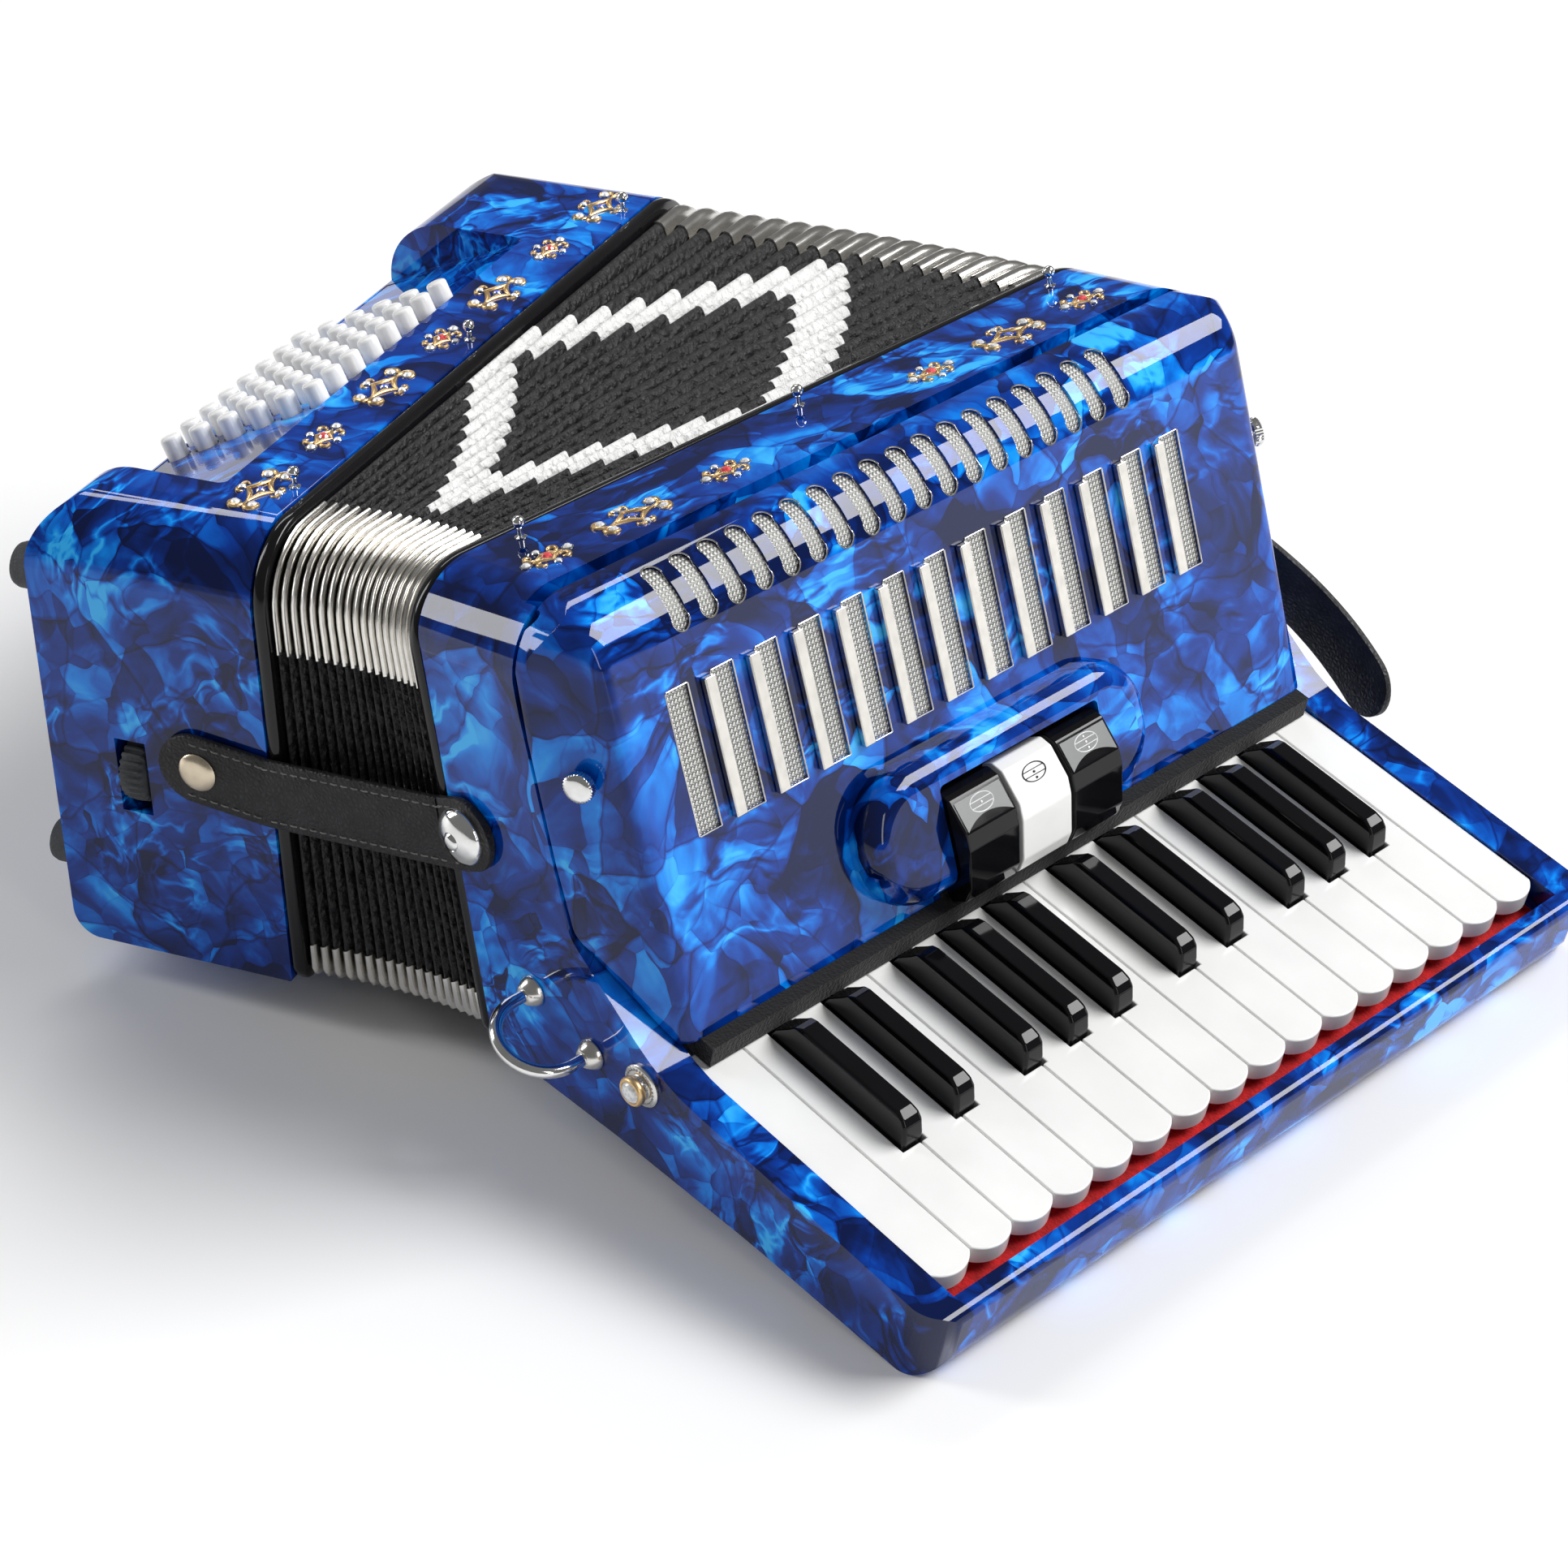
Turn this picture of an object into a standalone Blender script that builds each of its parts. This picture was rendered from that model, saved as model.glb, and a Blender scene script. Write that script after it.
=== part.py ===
"""Small piano accordion lying on its back, bellows fanned open from the snapped strap.

Local frames, both with x away from the bellows on the treble side, y along the
keyboard from the chin end to the far end, and z up through the front of the instrument:
the treble frame starts at the back corner of the bellows seam, and the bass frame is
the same corner of the bass body, swung open about the fan axis.
"""
import math

import bmesh
import bpy
from mathutils import Matrix, Vector

MM = 0.001
GAP = 0.3                       # running gap between neighbouring pieces, mm

# ---- driving dimensions, mm ----
WHITE_KEYS = 16
KEY_PITCH = 18.6
CHEEK = 13.7                    # thickness of the casing wall at each end of the keyboard
BODY_LENGTH = WHITE_KEYS * KEY_PITCH + 2 * CHEEK
BODY_DEPTH = 168.0              # back to front of the bellows frames
FRONT_RADIUS = 26.0             # rounded front corners of casings and frames
BACK_RADIUS = 6.0
KEY_TILT = 22.28                # key tops slope away from the front by this angle
KEY_LENGTH = 103.0              # visible white key, felt to the joint between two tips
BASS_WIDTH = 86.7
SEAM_X = 47.0                   # groove between treble casing and grille
GRILLE_TILT = 7.0

# ---- bellows ----
CLOSED_THICKNESS = 60.0         # gap between the two casings with the bellows shut
FRAME_THICKNESS = 5.0
SECTIONS = 3
PLEATS_PER_SECTION = 6
PLEAT_DEPTH = 9.0
BELLOWS_WALL = 20.0
BELLOWS_INSET = 2.5
FAN_OPEN = 23.3                 # degrees between the two frames
FAN_AXIS_TILT = 17.56           # the fan axis leans away from the front, degrees
FAN_AXIS_X = -16.8
FAN_AXIS_REACH = -63.0          # distance of the fan axis beyond the chin end

# ---- rest on the floor ----
REST_TILT = 9.91                # casing rises towards the keyboard, degrees

# ---- keys (key frame: x to the tips, z out of the key tops) ----
KEY_ORIGIN = (91.3, 11.6)       # felt line on the key tops, in the treble frame
KEY_SIDE_GAP = 0.3
KEY_THICKNESS = 7.0
TIP_BULGE = 4.5
BLACK_WIDTH = 9.0
BLACK_LENGTH = 61.5
BLACK_HEIGHT = 11.3
BLACK_CLEARANCE = 0.7
AXLE_AT = (-22.0, -6.0)
AXLE_RADIUS = 1.3
BED_LEVEL = -13.0
BED_FELT = 1.6                  # a pressed key stops just above the felt
WELL_END = 114.0                # inner face of the rim in front of the tips
RIM_END = 121.5
# a black key stands after these white keys, shifted by this much from the joint
BLACK_AFTER = {2: -2.6, 3: 2.6, 5: -3.0, 6: 0.0, 7: 3.0, 9: -2.6, 10: 2.6,
               12: -3.0, 13: 0.0, 14: 3.0}

# ---- grille ----
GRILLE_FOOT = (89.0, 21.0)      # lower front edge, in the treble frame
GRILLE_TOP = 167.5
GRILLE_WALL = 3.0
MESH_SLOTS = 13
MESH_SLOT_START = 36.0
MESH_SLOT_PITCH = 19.0
MESH_SLOT_WIDTH = 9.4
MESH_SLOT_LOW = 63.5
MESH_SLOT_HIGH = 112.5
OVAL_SLOTS = 18
OVAL_SLOT_START = 49.0
OVAL_SLOT_PITCH = 11.9
OVAL_SLOT_WIDTH = 6.0
OVAL_SLOT_LENGTH = 29.0
MESH_DEPTH = 4.7                # metal cloth behind the front of the grille
BAR_WIDTH = 4.6
BAR_RISE = 2.6
POD_Y = (93.0, 226.0)           # raised pod round the register switches
POD_S = (6.0, 54.0)
POD_HEIGHT = 12.0
SWITCH_PITCH = 25.2
SWITCH_WIDTH = 23.6
SWITCH_CENTRE = 163.5

# ---- bass buttons ----
BOARD_EDGE_X = -28.0
BOARD_EDGE_Z = 167.0
BOARD_TILT = 22.7
BUTTON_ROWS = 6
BUTTON_COLUMNS = 8
BUTTON_PITCH = 12.85
BUTTON_ROW_PITCH = 10.4
BUTTON_ROW_SHIFT = -3.7
BUTTON_FIRST = (5.1, 107.0)     # down the board, along the body
BUTTON_RADIUS = 3.9
BUTTON_HEIGHT = 8.0
BOARD_DOWN = (0.1, 62.3)         # the opening that the board fills, down its slope
HOLE_RADIUS = 4.85
RECESS_Y = (36.0, 252.0)
RECESS_RIM = 6.0                # ledge of casing left round the board

# ---- bass fittings, in the bass frame ----
AIR_AT = (40.0, 106.0)          # y and z of the air button
AIR_RADIUS = 5.4
COVER_Y = (22.0, BODY_LENGTH - 22.0)
COVER_Z = (16.0, 122.0)
COVER_THICKNESS = 3.0
WHEEL_AT = (-54.0, 8.0, 70.0)
WHEEL_RADIUS = 12.0
WHEEL_HALF = 4.5
FEET_AT = ((13.0, 137.0), (284.0, 137.0), (13.0, 29.0), (312.0, 29.0))
FOOT_RADIUS = 8.5
FOOT_HEIGHT = 11.0
STEM_RADIUS = 2.0
FOOT_STRIP_X = -73.4

# ---- inside the casings ----
CASING_WALL = 10.0
WINDOW_MARGIN = 24.0            # the valve window stays this far from the casing's ends
WINDOW_TOP = 22.0
REED_BOARD = 5.0
REED_BLOCK_LOW = (38.0, 92.0)
REED_BLOCK_HEIGHT = 30.0
REED_BLOCK_MARGIN = 48.0

# ---- straps and shoulder-strap rings ----
STRAP_HALF = 13.0
STRAP_THICKNESS = 2.6
NEAR_STRAP_BASS = ((-41.0, 81.2), (1.0, 76.0))        # x and z on the bass end face
NEAR_STRAP_TREBLE = ((-1.0, 79.0), (22.0, 85.0))      # x and z on the treble end face
FAR_STRAP_PIVOT = (30.0, BODY_LENGTH + GAP, 71.0)
FAR_STRAP_END = (102.0, 4.0)
FAR_STRAP_BOW = 15.0
HAND_STRAP_Z = (50.0, 92.0)
HAND_STRAP_Y = (34.0, BODY_LENGTH - 34.0)
HAND_STRAP_BOW = 24.0
HAND_STRAP_THICKNESS = 3.2
RING_FEET = ((28.0, 28.5), (54.0, 13.4))              # x and z on the end faces
RING_RADIUS = 2.2
RING_REACH = 9.0

MATERIALS = {
    # name: (red, green, blue, roughness, metallic)
    "pearl_blue": (0.008, 0.070, 0.420, 0.12, 0.0),
    "white_key": (0.86, 0.86, 0.83, 0.25, 0.0),
    "black_key": (0.010, 0.010, 0.012, 0.12, 0.0),
    "chrome": (0.78, 0.78, 0.77, 0.15, 1.0),
    "metal_mesh": (0.55, 0.55, 0.53, 0.40, 1.0),
    "red_felt": (0.42, 0.01, 0.01, 0.95, 0.0),
    "black_felt": (0.012, 0.012, 0.012, 0.95, 0.0),
    "black_leather": (0.02, 0.02, 0.022, 0.55, 0.0),
    "bellows_cloth": (0.025, 0.025, 0.027, 0.70, 0.0),
    "frame_black": (0.015, 0.015, 0.016, 0.35, 0.0),
    "white_button": (0.88, 0.88, 0.86, 0.20, 0.0),
    "reed_wood": (0.55, 0.36, 0.18, 0.60, 0.0),
    "steel": (0.50, 0.50, 0.52, 0.30, 1.0),
    "rubber": (0.05, 0.05, 0.052, 0.80, 0.0),
}


# ---------------------------------------------------------------- helpers

def clear_scene():
    for old in list(bpy.data.objects):
        bpy.data.objects.remove(old, do_unlink=True)


def material(name):
    found = bpy.data.materials.get(name)
    if found:
        return found
    red, green, blue, roughness, metallic = MATERIALS[name]
    made = bpy.data.materials.new(name)
    made.use_nodes = True
    shader = made.node_tree.nodes["Principled BSDF"]
    shader.inputs["Base Color"].default_value = (red, green, blue, 1.0)
    shader.inputs["Roughness"].default_value = roughness
    shader.inputs["Metallic"].default_value = metallic
    made.diffuse_color = (red, green, blue, 1.0)
    return made


class Frame:
    """An empty that pieces hang on; origin is the local point that it stands on."""

    def __init__(self, name, parent=None, origin=(0, 0, 0), axis=(0, 0, 1), degrees=0.0):
        self.origin = Vector(origin)
        self.empty = bpy.data.objects.new(name, None)
        bpy.context.collection.objects.link(self.empty)
        base = parent.origin if parent else Vector((0, 0, 0))
        self.empty.location = (self.origin - base) * MM
        self.empty.rotation_mode = "QUATERNION"
        turn = Matrix.Rotation(math.radians(degrees), 3, Vector(axis))
        self.empty.rotation_quaternion = turn.to_quaternion()
        if parent:
            self.empty.parent = parent.empty


def build(name, mesh, look, frame, pivot=(0, 0, 0), smooth=30.0):
    """Make an object from a bmesh given in mm in its frame, with its origin at pivot."""
    bmesh.ops.recalc_face_normals(mesh, faces=mesh.faces)
    data = bpy.data.meshes.new(name)
    bmesh.ops.translate(mesh, verts=mesh.verts, vec=-Vector(pivot))
    bmesh.ops.scale(mesh, verts=mesh.verts, vec=(MM, MM, MM))
    mesh.to_mesh(data)
    mesh.free()
    data.shade_smooth()
    data.set_sharp_from_angle(angle=math.radians(smooth))
    data.materials.append(material(look))
    made = bpy.data.objects.new(name, data)
    bpy.context.collection.objects.link(made)
    made.parent = frame.empty
    made.location = (Vector(pivot) - frame.origin) * MM
    return made


def cutter(name, mesh, frame):
    made = build(name, mesh, "steel", frame)
    made.hide_render = True
    made.display_type = "WIRE"
    return made


def boolean(target, other, operation="DIFFERENCE"):
    step = target.modifiers.new(operation.title(), "BOOLEAN")
    step.operation = operation
    step.object = other
    step.solver = "EXACT"


def rounded(corners, step=18.0):
    """Outline from (u, v, radius) corners; each radius becomes a run of arc points."""
    outline = []
    count = len(corners)
    for index, (u, v, radius) in enumerate(corners):
        here = Vector((u, v))
        if radius <= 0:
            outline.append(here)
            continue
        before = (Vector(corners[index - 1][:2]) - here).normalized()
        after = (Vector(corners[(index + 1) % count][:2]) - here).normalized()
        half = math.acos(max(-1.0, min(1.0, before.dot(after)))) / 2
        reach = radius / math.tan(half)
        centre = here + (before + after).normalized() * (radius / math.sin(half))
        start = here + before * reach - centre
        end = here + after * reach - centre
        turn = start.angle_signed(end)
        pieces = max(1, math.ceil(math.degrees(abs(turn)) / step))
        for piece in range(pieces + 1):
            angle = -turn * piece / pieces
            cos, sin = math.cos(angle), math.sin(angle)
            outline.append(centre + Vector((start.x * cos - start.y * sin,
                                            start.x * sin + start.y * cos)))
    return outline


def rectangle(u0, v0, u1, v1, radius=0.0, step=30.0):
    return rounded([(u0, v0, radius), (u1, v0, radius), (u1, v1, radius), (u0, v1, radius)], step)


def loft(rings):
    """Closed solid through rings of equal point count, capped at both ends."""
    mesh = bmesh.new()
    loops = [[mesh.verts.new(point) for point in ring] for ring in rings]
    for low, high in zip(loops, loops[1:]):
        for index in range(len(low)):
            after = (index + 1) % len(low)
            mesh.faces.new((low[index], low[after], high[after], high[index]))
    mesh.faces.new(loops[0][::-1])
    mesh.faces.new(loops[-1])
    return mesh


def tube(rings):
    """Closed solid of revolution-like rings: the last ring joins back to the first."""
    mesh = bmesh.new()
    loops = [[mesh.verts.new(point) for point in ring] for ring in rings]
    for low, high in zip(loops, loops[1:] + loops[:1]):
        for index in range(len(low)):
            after = (index + 1) % len(low)
            mesh.faces.new((low[index], low[after], high[after], high[index]))
    return mesh


def extrude(outline, start, end, place):
    """Prism of a 2D outline between two heights; place turns (u, v, height) into a point."""
    return loft([[place(u, v, height) for u, v in outline] for height in (start, end)])


def along_y(u, v, height):
    return Vector((u, height, v))


def along_x(u, v, height):
    return Vector((height, u, v))


def box(low, high):
    outline = rectangle(low[0], low[2], high[0], high[2])
    return extrude(outline, low[1], high[1], along_y)


def bar_along(points, radius, sides):
    """Round bar through points, capped at its ends."""
    rings = []
    side = None
    for index, point in enumerate(points):
        before = points[max(index - 1, 0)]
        after = points[min(index + 1, len(points) - 1)]
        heading = (after - before).normalized()
        if side is None:
            side = heading.orthogonal().normalized()
        side = (side - heading * side.dot(heading)).normalized()
        other = heading.cross(side)
        rings.append([point + (side * math.cos(turn) + other * math.sin(turn)) * radius
                      for turn in (2 * math.pi * k / sides for k in range(sides))])
    return loft(rings)


def join(meshes):
    """One bmesh holding several separate shapes, for a cutter."""
    whole = bmesh.new()
    for part in meshes:
        bmesh.ops.recalc_face_normals(part, faces=part.faces)
        data = bpy.data.meshes.new("part")
        part.to_mesh(data)
        part.free()
        whole.from_mesh(data)
        bpy.data.meshes.remove(data)
    return whole


def shrink(outline, distance):
    """The outline moved inwards by distance, for outlines that run counter-clockwise."""
    moved = []
    count = len(outline)
    for index, point in enumerate(outline):
        before = (point - outline[index - 1]).normalized()
        after = (outline[(index + 1) % count] - point).normalized()
        inward = Vector((-before.y - after.y, before.x + after.x))
        scale = distance * 2 / max(inward.length_squared, 0.5)
        moved.append(point + inward * scale)
    return moved


# ---------------------------------------------------------------- local places

def key_point(x, z):
    """Key-frame point in the treble frame's x and z."""
    tilt = math.radians(KEY_TILT)
    return (KEY_ORIGIN[0] + x * math.cos(tilt) + z * math.sin(tilt),
            KEY_ORIGIN[1] - x * math.sin(tilt) + z * math.cos(tilt))


def in_key(x, y, z):
    """Key-frame point, y from the first key's near edge, as a treble-frame vector."""
    across, up = key_point(x, z)
    return Vector((across, y + CHEEK, up))


def on_grille(y, up_slope, out):
    """Point on the grille's sloping front, out along its normal."""
    tilt = math.radians(GRILLE_TILT)
    return Vector((GRILLE_FOOT[0] - up_slope * math.sin(tilt) + out * math.cos(tilt), y,
                   GRILLE_FOOT[1] + up_slope * math.cos(tilt) + out * math.sin(tilt)))


def on_board(y, down, out):
    """Point on the sloping bass button board, out along its normal."""
    tilt = math.radians(BOARD_TILT)
    return Vector((BOARD_EDGE_X - down * math.cos(tilt) - out * math.sin(tilt), y,
                   BOARD_EDGE_Z - down * math.sin(tilt) + out * math.cos(tilt)))


def end_outline(inset=0.0, step=30.0):
    """Outline of casings and frames seen along x: rounded at the front corners."""
    back = max(BACK_RADIUS - inset, 2.0)
    front = max(FRONT_RADIUS - inset, 2.0)
    return rounded([(inset, inset, back),
                    (BODY_LENGTH - inset, inset, back),
                    (BODY_LENGTH - inset, BODY_DEPTH - inset, front),
                    (inset, BODY_DEPTH - inset, front)], step)


def corner_mask(name, frame, low_z):
    """Block that rounds a casing's front corners by intersection."""
    skin = 0.2
    top = BODY_DEPTH + skin
    outline = rounded([(-skin, low_z, 0), (BODY_LENGTH + skin, low_z, 0),
                       (BODY_LENGTH + skin, top, FRONT_RADIUS + skin),
                       (-skin, top, FRONT_RADIUS + skin)])
    return cutter(name, extrude(outline, -BASS_WIDTH - 20, 240, along_x), frame)


# ---------------------------------------------------------------- treble casing

def casing_outline(grow=0.0):
    """Side view of the treble casing: bellows edge, back, keyboard rim, cheek, seam."""
    corners = [(0, 0, 2), (60, -15.8, 60), (120, -34, 200),
               key_point(RIM_END, -28) + (13,), key_point(RIM_END, 1.0) + (4,),
               key_point(-4.0, 1.0) + (60,), (53.0, 56.0, 12), (SEAM_X, 135.0, 60),
               (SEAM_X, BODY_DEPTH, 4), (0, BODY_DEPTH, 0)]
    outline = rounded(corners, 22.0)
    return shrink(outline, -grow) if grow else outline


def lip_bevel(mesh, width, segments):
    """Round the two end faces of a prism along y."""
    ends = [face for face in mesh.faces if len(face.verts) > 4]
    edges = {edge for face in ends for edge in face.edges}
    bmesh.ops.bevel(mesh, geom=list(edges), offset=width, segments=segments, profile=0.5,
                    affect="EDGES", clamp_overlap=True)


def treble_casing(frame):
    inner = (CHEEK, BODY_LENGTH - CHEEK)
    outer = extrude(casing_outline(), 0, BODY_LENGTH, along_y)
    lip_bevel(outer, 3.6, 2)
    casing = build("treble_casing", outer, "pearl_blue", frame)
    boolean(casing, corner_mask("treble_corner_mask", frame, -80), "INTERSECT")
    well = [key_point(WELL_END, BED_LEVEL), key_point(WELL_END, 60), (70, 230), (42, 230),
            (42, 20), key_point(-33, BED_LEVEL)]
    well = [Vector(point) for point in well]
    boolean(casing, cutter("key_well", extrude(well, *inner, along_y), frame))
    reed_bay = box((-5, CASING_WALL, CASING_WALL),
                   (36, BODY_LENGTH - CASING_WALL, BODY_DEPTH - CASING_WALL - 2))
    window = box((30, WINDOW_MARGIN, WINDOW_MARGIN),
                 (60, BODY_LENGTH - WINDOW_MARGIN, BODY_DEPTH - WINDOW_TOP))
    boolean(casing, cutter("reed_bay", reed_bay, frame))
    boolean(casing, cutter("valve_window", window, frame))


def reed_block(name, frame, wall_x, reach, boss_x=None):
    """Sounding board with two reed blocks on it, and a boss that fills the valve window."""
    side = 1 if reach > wall_x else -1
    margin = CASING_WALL + 0.5
    low_x, high_x = sorted((wall_x, wall_x + side * REED_BOARD))
    plate = box((low_x, margin, margin), (high_x, BODY_LENGTH - margin, BODY_DEPTH - margin - 2))
    board = build(name, plate, "reed_wood", frame)
    start, end = sorted((wall_x + side * 3, reach))
    blocks = [box((start, REED_BLOCK_MARGIN, low),
                  (end, BODY_LENGTH - REED_BLOCK_MARGIN, low + REED_BLOCK_HEIGHT))
              for low in REED_BLOCK_LOW]
    boolean(board, cutter(name + "_blocks", join(blocks), frame), "UNION")
    if boss_x:
        inner = WINDOW_MARGIN + GAP
        boss = box((wall_x - 3, inner, inner),
                   (boss_x, BODY_LENGTH - inner, BODY_DEPTH - WINDOW_TOP - GAP))
        boolean(board, cutter(name + "_boss", boss, frame), "UNION")


# ---------------------------------------------------------------- grille

def grille_rings(inset=0.0, open_back=0.0):
    """Cross-sections of the grille cover from end to end; its ends slant to the seam."""
    tilt = math.radians(GRILLE_TILT)
    back = SEAM_X + 1.6 - open_back
    top = GRILLE_TOP - inset
    foot = GRILLE_FOOT[1] - open_back

    def front(z):
        return GRILLE_FOOT[0] - (z - GRILLE_FOOT[1]) * math.tan(tilt) - inset / math.cos(tilt)
    corners = [(back, foot, 0), (front(foot), foot, 1.0),
               (front(top), top, 22 - inset), (back, top, 0)]
    outline = rounded(corners, 18.0)
    stations = [(0.6, 0.10), (6.0, 0.46), (12.5, 0.90), (14.6, 0.97), (19.0, 1.0)]
    stations = [(y + inset * 1.2, share) for y, share in stations]
    stations += [(BODY_LENGTH - y, share) for y, share in reversed(stations)]
    rings = []
    for y, share in stations:
        rings.append([Vector((back + (u - back) * share, y, v)) for u, v in outline])
    return rings


def slot_cutters():
    meshes = []
    for index in range(MESH_SLOTS):
        y = MESH_SLOT_START + index * MESH_SLOT_PITCH
        outline = rectangle(y, MESH_SLOT_LOW, y + MESH_SLOT_WIDTH, MESH_SLOT_HIGH)
        meshes.append(extrude(outline, -8, 6, on_grille))
    shoulder = math.radians(45)
    centre = Vector((67.0, 0, 158.5))
    out = Vector((math.cos(shoulder), 0, math.sin(shoulder)))
    up = Vector((-math.sin(shoulder), 0, math.cos(shoulder)))
    for index in range(OVAL_SLOTS):
        y = OVAL_SLOT_START + index * OVAL_SLOT_PITCH
        half = OVAL_SLOT_WIDTH / 2
        outline = rectangle(-half, -OVAL_SLOT_LENGTH / 2, half, OVAL_SLOT_LENGTH / 2, half - 0.05, 60)

        def place(u, v, height, y=y):
            return centre + Vector((0, y + u, 0)) + up * v + out * height
        meshes.append(extrude(outline, -14, 12, place))
    return meshes


def pod_rings():
    """Raised pod: a long rounded pill whose rim rolls over to a flat top."""
    rings = []
    for inset, height in ((0.0, -2.0), (0.0, 5.0), (2.4, 9.8), (6.5, POD_HEIGHT)):
        outline = rectangle(POD_Y[0] + inset, POD_S[0] + inset, POD_Y[1] - inset,
                            POD_S[1] - inset, 22.0 - inset, 30)
        rings.append([on_grille(u, v, height) for u, v in outline])
    return rings


def treble_grille(frame):
    grille = build("treble_grille", loft(grille_rings()), "pearl_blue", frame, smooth=35)
    boolean(grille, cutter("grille_hollow", loft(grille_rings(GRILLE_WALL, 6.0)), frame))
    boolean(grille, cutter("grille_pod", loft(pod_rings()), frame), "UNION")
    cheeks = []
    for start, end in ((-1, CHEEK + GAP), (BODY_LENGTH - CHEEK - GAP, BODY_LENGTH + 1)):
        cheeks.append(extrude(casing_outline(GAP), start, end, along_y))
    boolean(grille, cutter("cheek_clearance", join(cheeks), frame))
    boolean(grille, corner_mask("grille_corner_mask", frame, -80), "INTERSECT")
    boolean(grille, cutter("grille_slots", join(slot_cutters()), frame))
    half = SWITCH_PITCH * 1.5
    outline = rectangle(SWITCH_CENTRE - half, -4, SWITCH_CENTRE + half, 43.5)
    boolean(grille, cutter("switch_recess", extrude(outline, 0.6, 30, on_grille), frame))


def grille_mesh(frame):
    """Woven metal cloth behind the slots, curved over the grille's shoulder."""
    low, high = on_grille(0, 58, -MESH_DEPTH), on_grille(0, 124, -MESH_DEPTH)
    path = [(low.x, low.z), (high.x, high.z)]
    shoulder = rounded([path[0] + (0,), (path[1][0] - 2.2, 163.3, 18), (SEAM_X + 3.4, 163.3, 0)], 16)
    outer = [Vector(point) for point in shoulder]
    inner = [point + Vector((-0.8, -0.8)) for point in reversed(outer)]
    outline = outer + inner
    build("grille_mesh", extrude(outline, 24, BODY_LENGTH - 24, along_y), "metal_mesh", frame)


def grille_bars(frame):
    """Chrome bars beside the mesh slots, tied together by two strips behind the grille."""
    bars = []
    hooks = []
    for index in range(1, MESH_SLOTS):
        end = MESH_SLOT_START + index * MESH_SLOT_PITCH - 0.1
        outline = rectangle(end - BAR_WIDTH, MESH_SLOT_LOW + 0.6, end, MESH_SLOT_HIGH - 0.6)
        bars.append(extrude(outline, GAP, BAR_RISE, on_grille))
        leg = end + 0.1 + GAP
        hook = [(end - 1.5, 1.0), (leg, 1.0), (leg, -3.9), (leg + 1.8, -3.9),
                (leg + 1.8, BAR_RISE - 0.5), (end - 1.5, BAR_RISE - 0.5)]

        def place(u, v, height):
            return on_grille(u, height, v)
        hooks.append(extrude(hook, MESH_SLOT_LOW + 0.9, MESH_SLOT_LOW + 3.4, place))
    strip = rectangle(MESH_SLOT_START + MESH_SLOT_PITCH - 3, MESH_SLOT_LOW + 0.5,
                      MESH_SLOT_START + (MESH_SLOTS - 1) * MESH_SLOT_PITCH + 4,
                      MESH_SLOT_LOW + 4.0)
    rack = build("grille_bars", extrude(strip, -4.0, -3.3, on_grille), "chrome", frame)
    boolean(rack, cutter("bar_hooks", join(hooks), frame), "UNION")
    boolean(rack, cutter("bar_set", join(bars), frame), "UNION")


def switch_outline():
    """Side view of a register switch: up the slope, out of it."""
    return [Vector(point) for point in
            ((39.5, 4.5), (40.5, 10), (38, 14), (27, 19.5), (22, 19.5), (6, 15.5), (1.2, 12),
             (0.2, 5.2), (3, 3.4))]


def registers(frame):
    for index in range(3):
        centre = SWITCH_CENTRE + (index - 1) * SWITCH_PITCH
        half = SWITCH_WIDTH / 2

        def place(u, v, height, centre=centre):
            return on_grille(centre + height, u, v)
        mesh = extrude(switch_outline(), -half, half, place)
        look = "white_key" if index == 1 else "black_key"
        build("register_switch_%d" % (index + 1), mesh, look, frame,
              pivot=on_grille(centre, 39.5, 6.0))


# ---------------------------------------------------------------- keyboard

def lever_outline():
    """Side view of the part of every key that hides under the grille, in x and z."""
    pad_x = 42.3
    x, z = AXLE_AT
    slot = AXLE_RADIUS + 0.35
    points = [key_point(44, -6.2), key_point(44, -9.4), key_point(x + slot, -9.4),
              key_point(x + slot, z), key_point(x + slot * 0.6, z + slot * 0.9),
              key_point(x - slot * 0.6, z + slot * 0.9), key_point(x - slot, z),
              key_point(x - slot, -9.4), key_point(-27, -9.4), key_point(-30, -5),
              (50.0, 66.0), (46.0, 66.0), (45.4, 60.0), (pad_x, 60.0), (pad_x, 88.0),
              (45.4, 88.0), (46.0, 74.0), (52.0, 73.0), key_point(-20, 1.2),
              key_point(-6, -6.2)]
    return [Vector(point) for point in points]


def black_centres():
    return {after: after * KEY_PITCH + shift for after, shift in BLACK_AFTER.items()}


def white_outline(index):
    """Top view of a white key: round tip, notched where a black key stands beside it."""
    left = index * KEY_PITCH + KEY_SIDE_GAP
    right = (index + 1) * KEY_PITCH - KEY_SIDE_GAP
    blacks = black_centres()
    tail_left, tail_right = left, right
    reach = BLACK_WIDTH / 2 + BLACK_CLEARANCE
    if index in blacks:
        tail_left = blacks[index] + reach
    if index + 1 in blacks:
        tail_right = blacks[index + 1] - reach
    notch = BLACK_LENGTH + BLACK_CLEARANCE
    outline = [Vector((-8.0, tail_left))]
    if tail_left > left:
        outline += [Vector((notch, tail_left)), Vector((notch, left))]
    half = (right - left) / 2
    radius = (half * half + TIP_BULGE * TIP_BULGE) / (2 * TIP_BULGE)
    spread = math.asin(half / radius)
    pieces = 8
    for piece in range(pieces + 1):
        angle = -spread + 2 * spread * piece / pieces
        outline.append(Vector((KEY_LENGTH + TIP_BULGE - radius + radius * math.cos(angle),
                               left + half + radius * math.sin(angle))))
    if tail_right < right:
        outline += [Vector((notch, right)), Vector((notch, tail_right))]
    outline.append(Vector((-8.0, tail_right)))
    return outline


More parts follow.
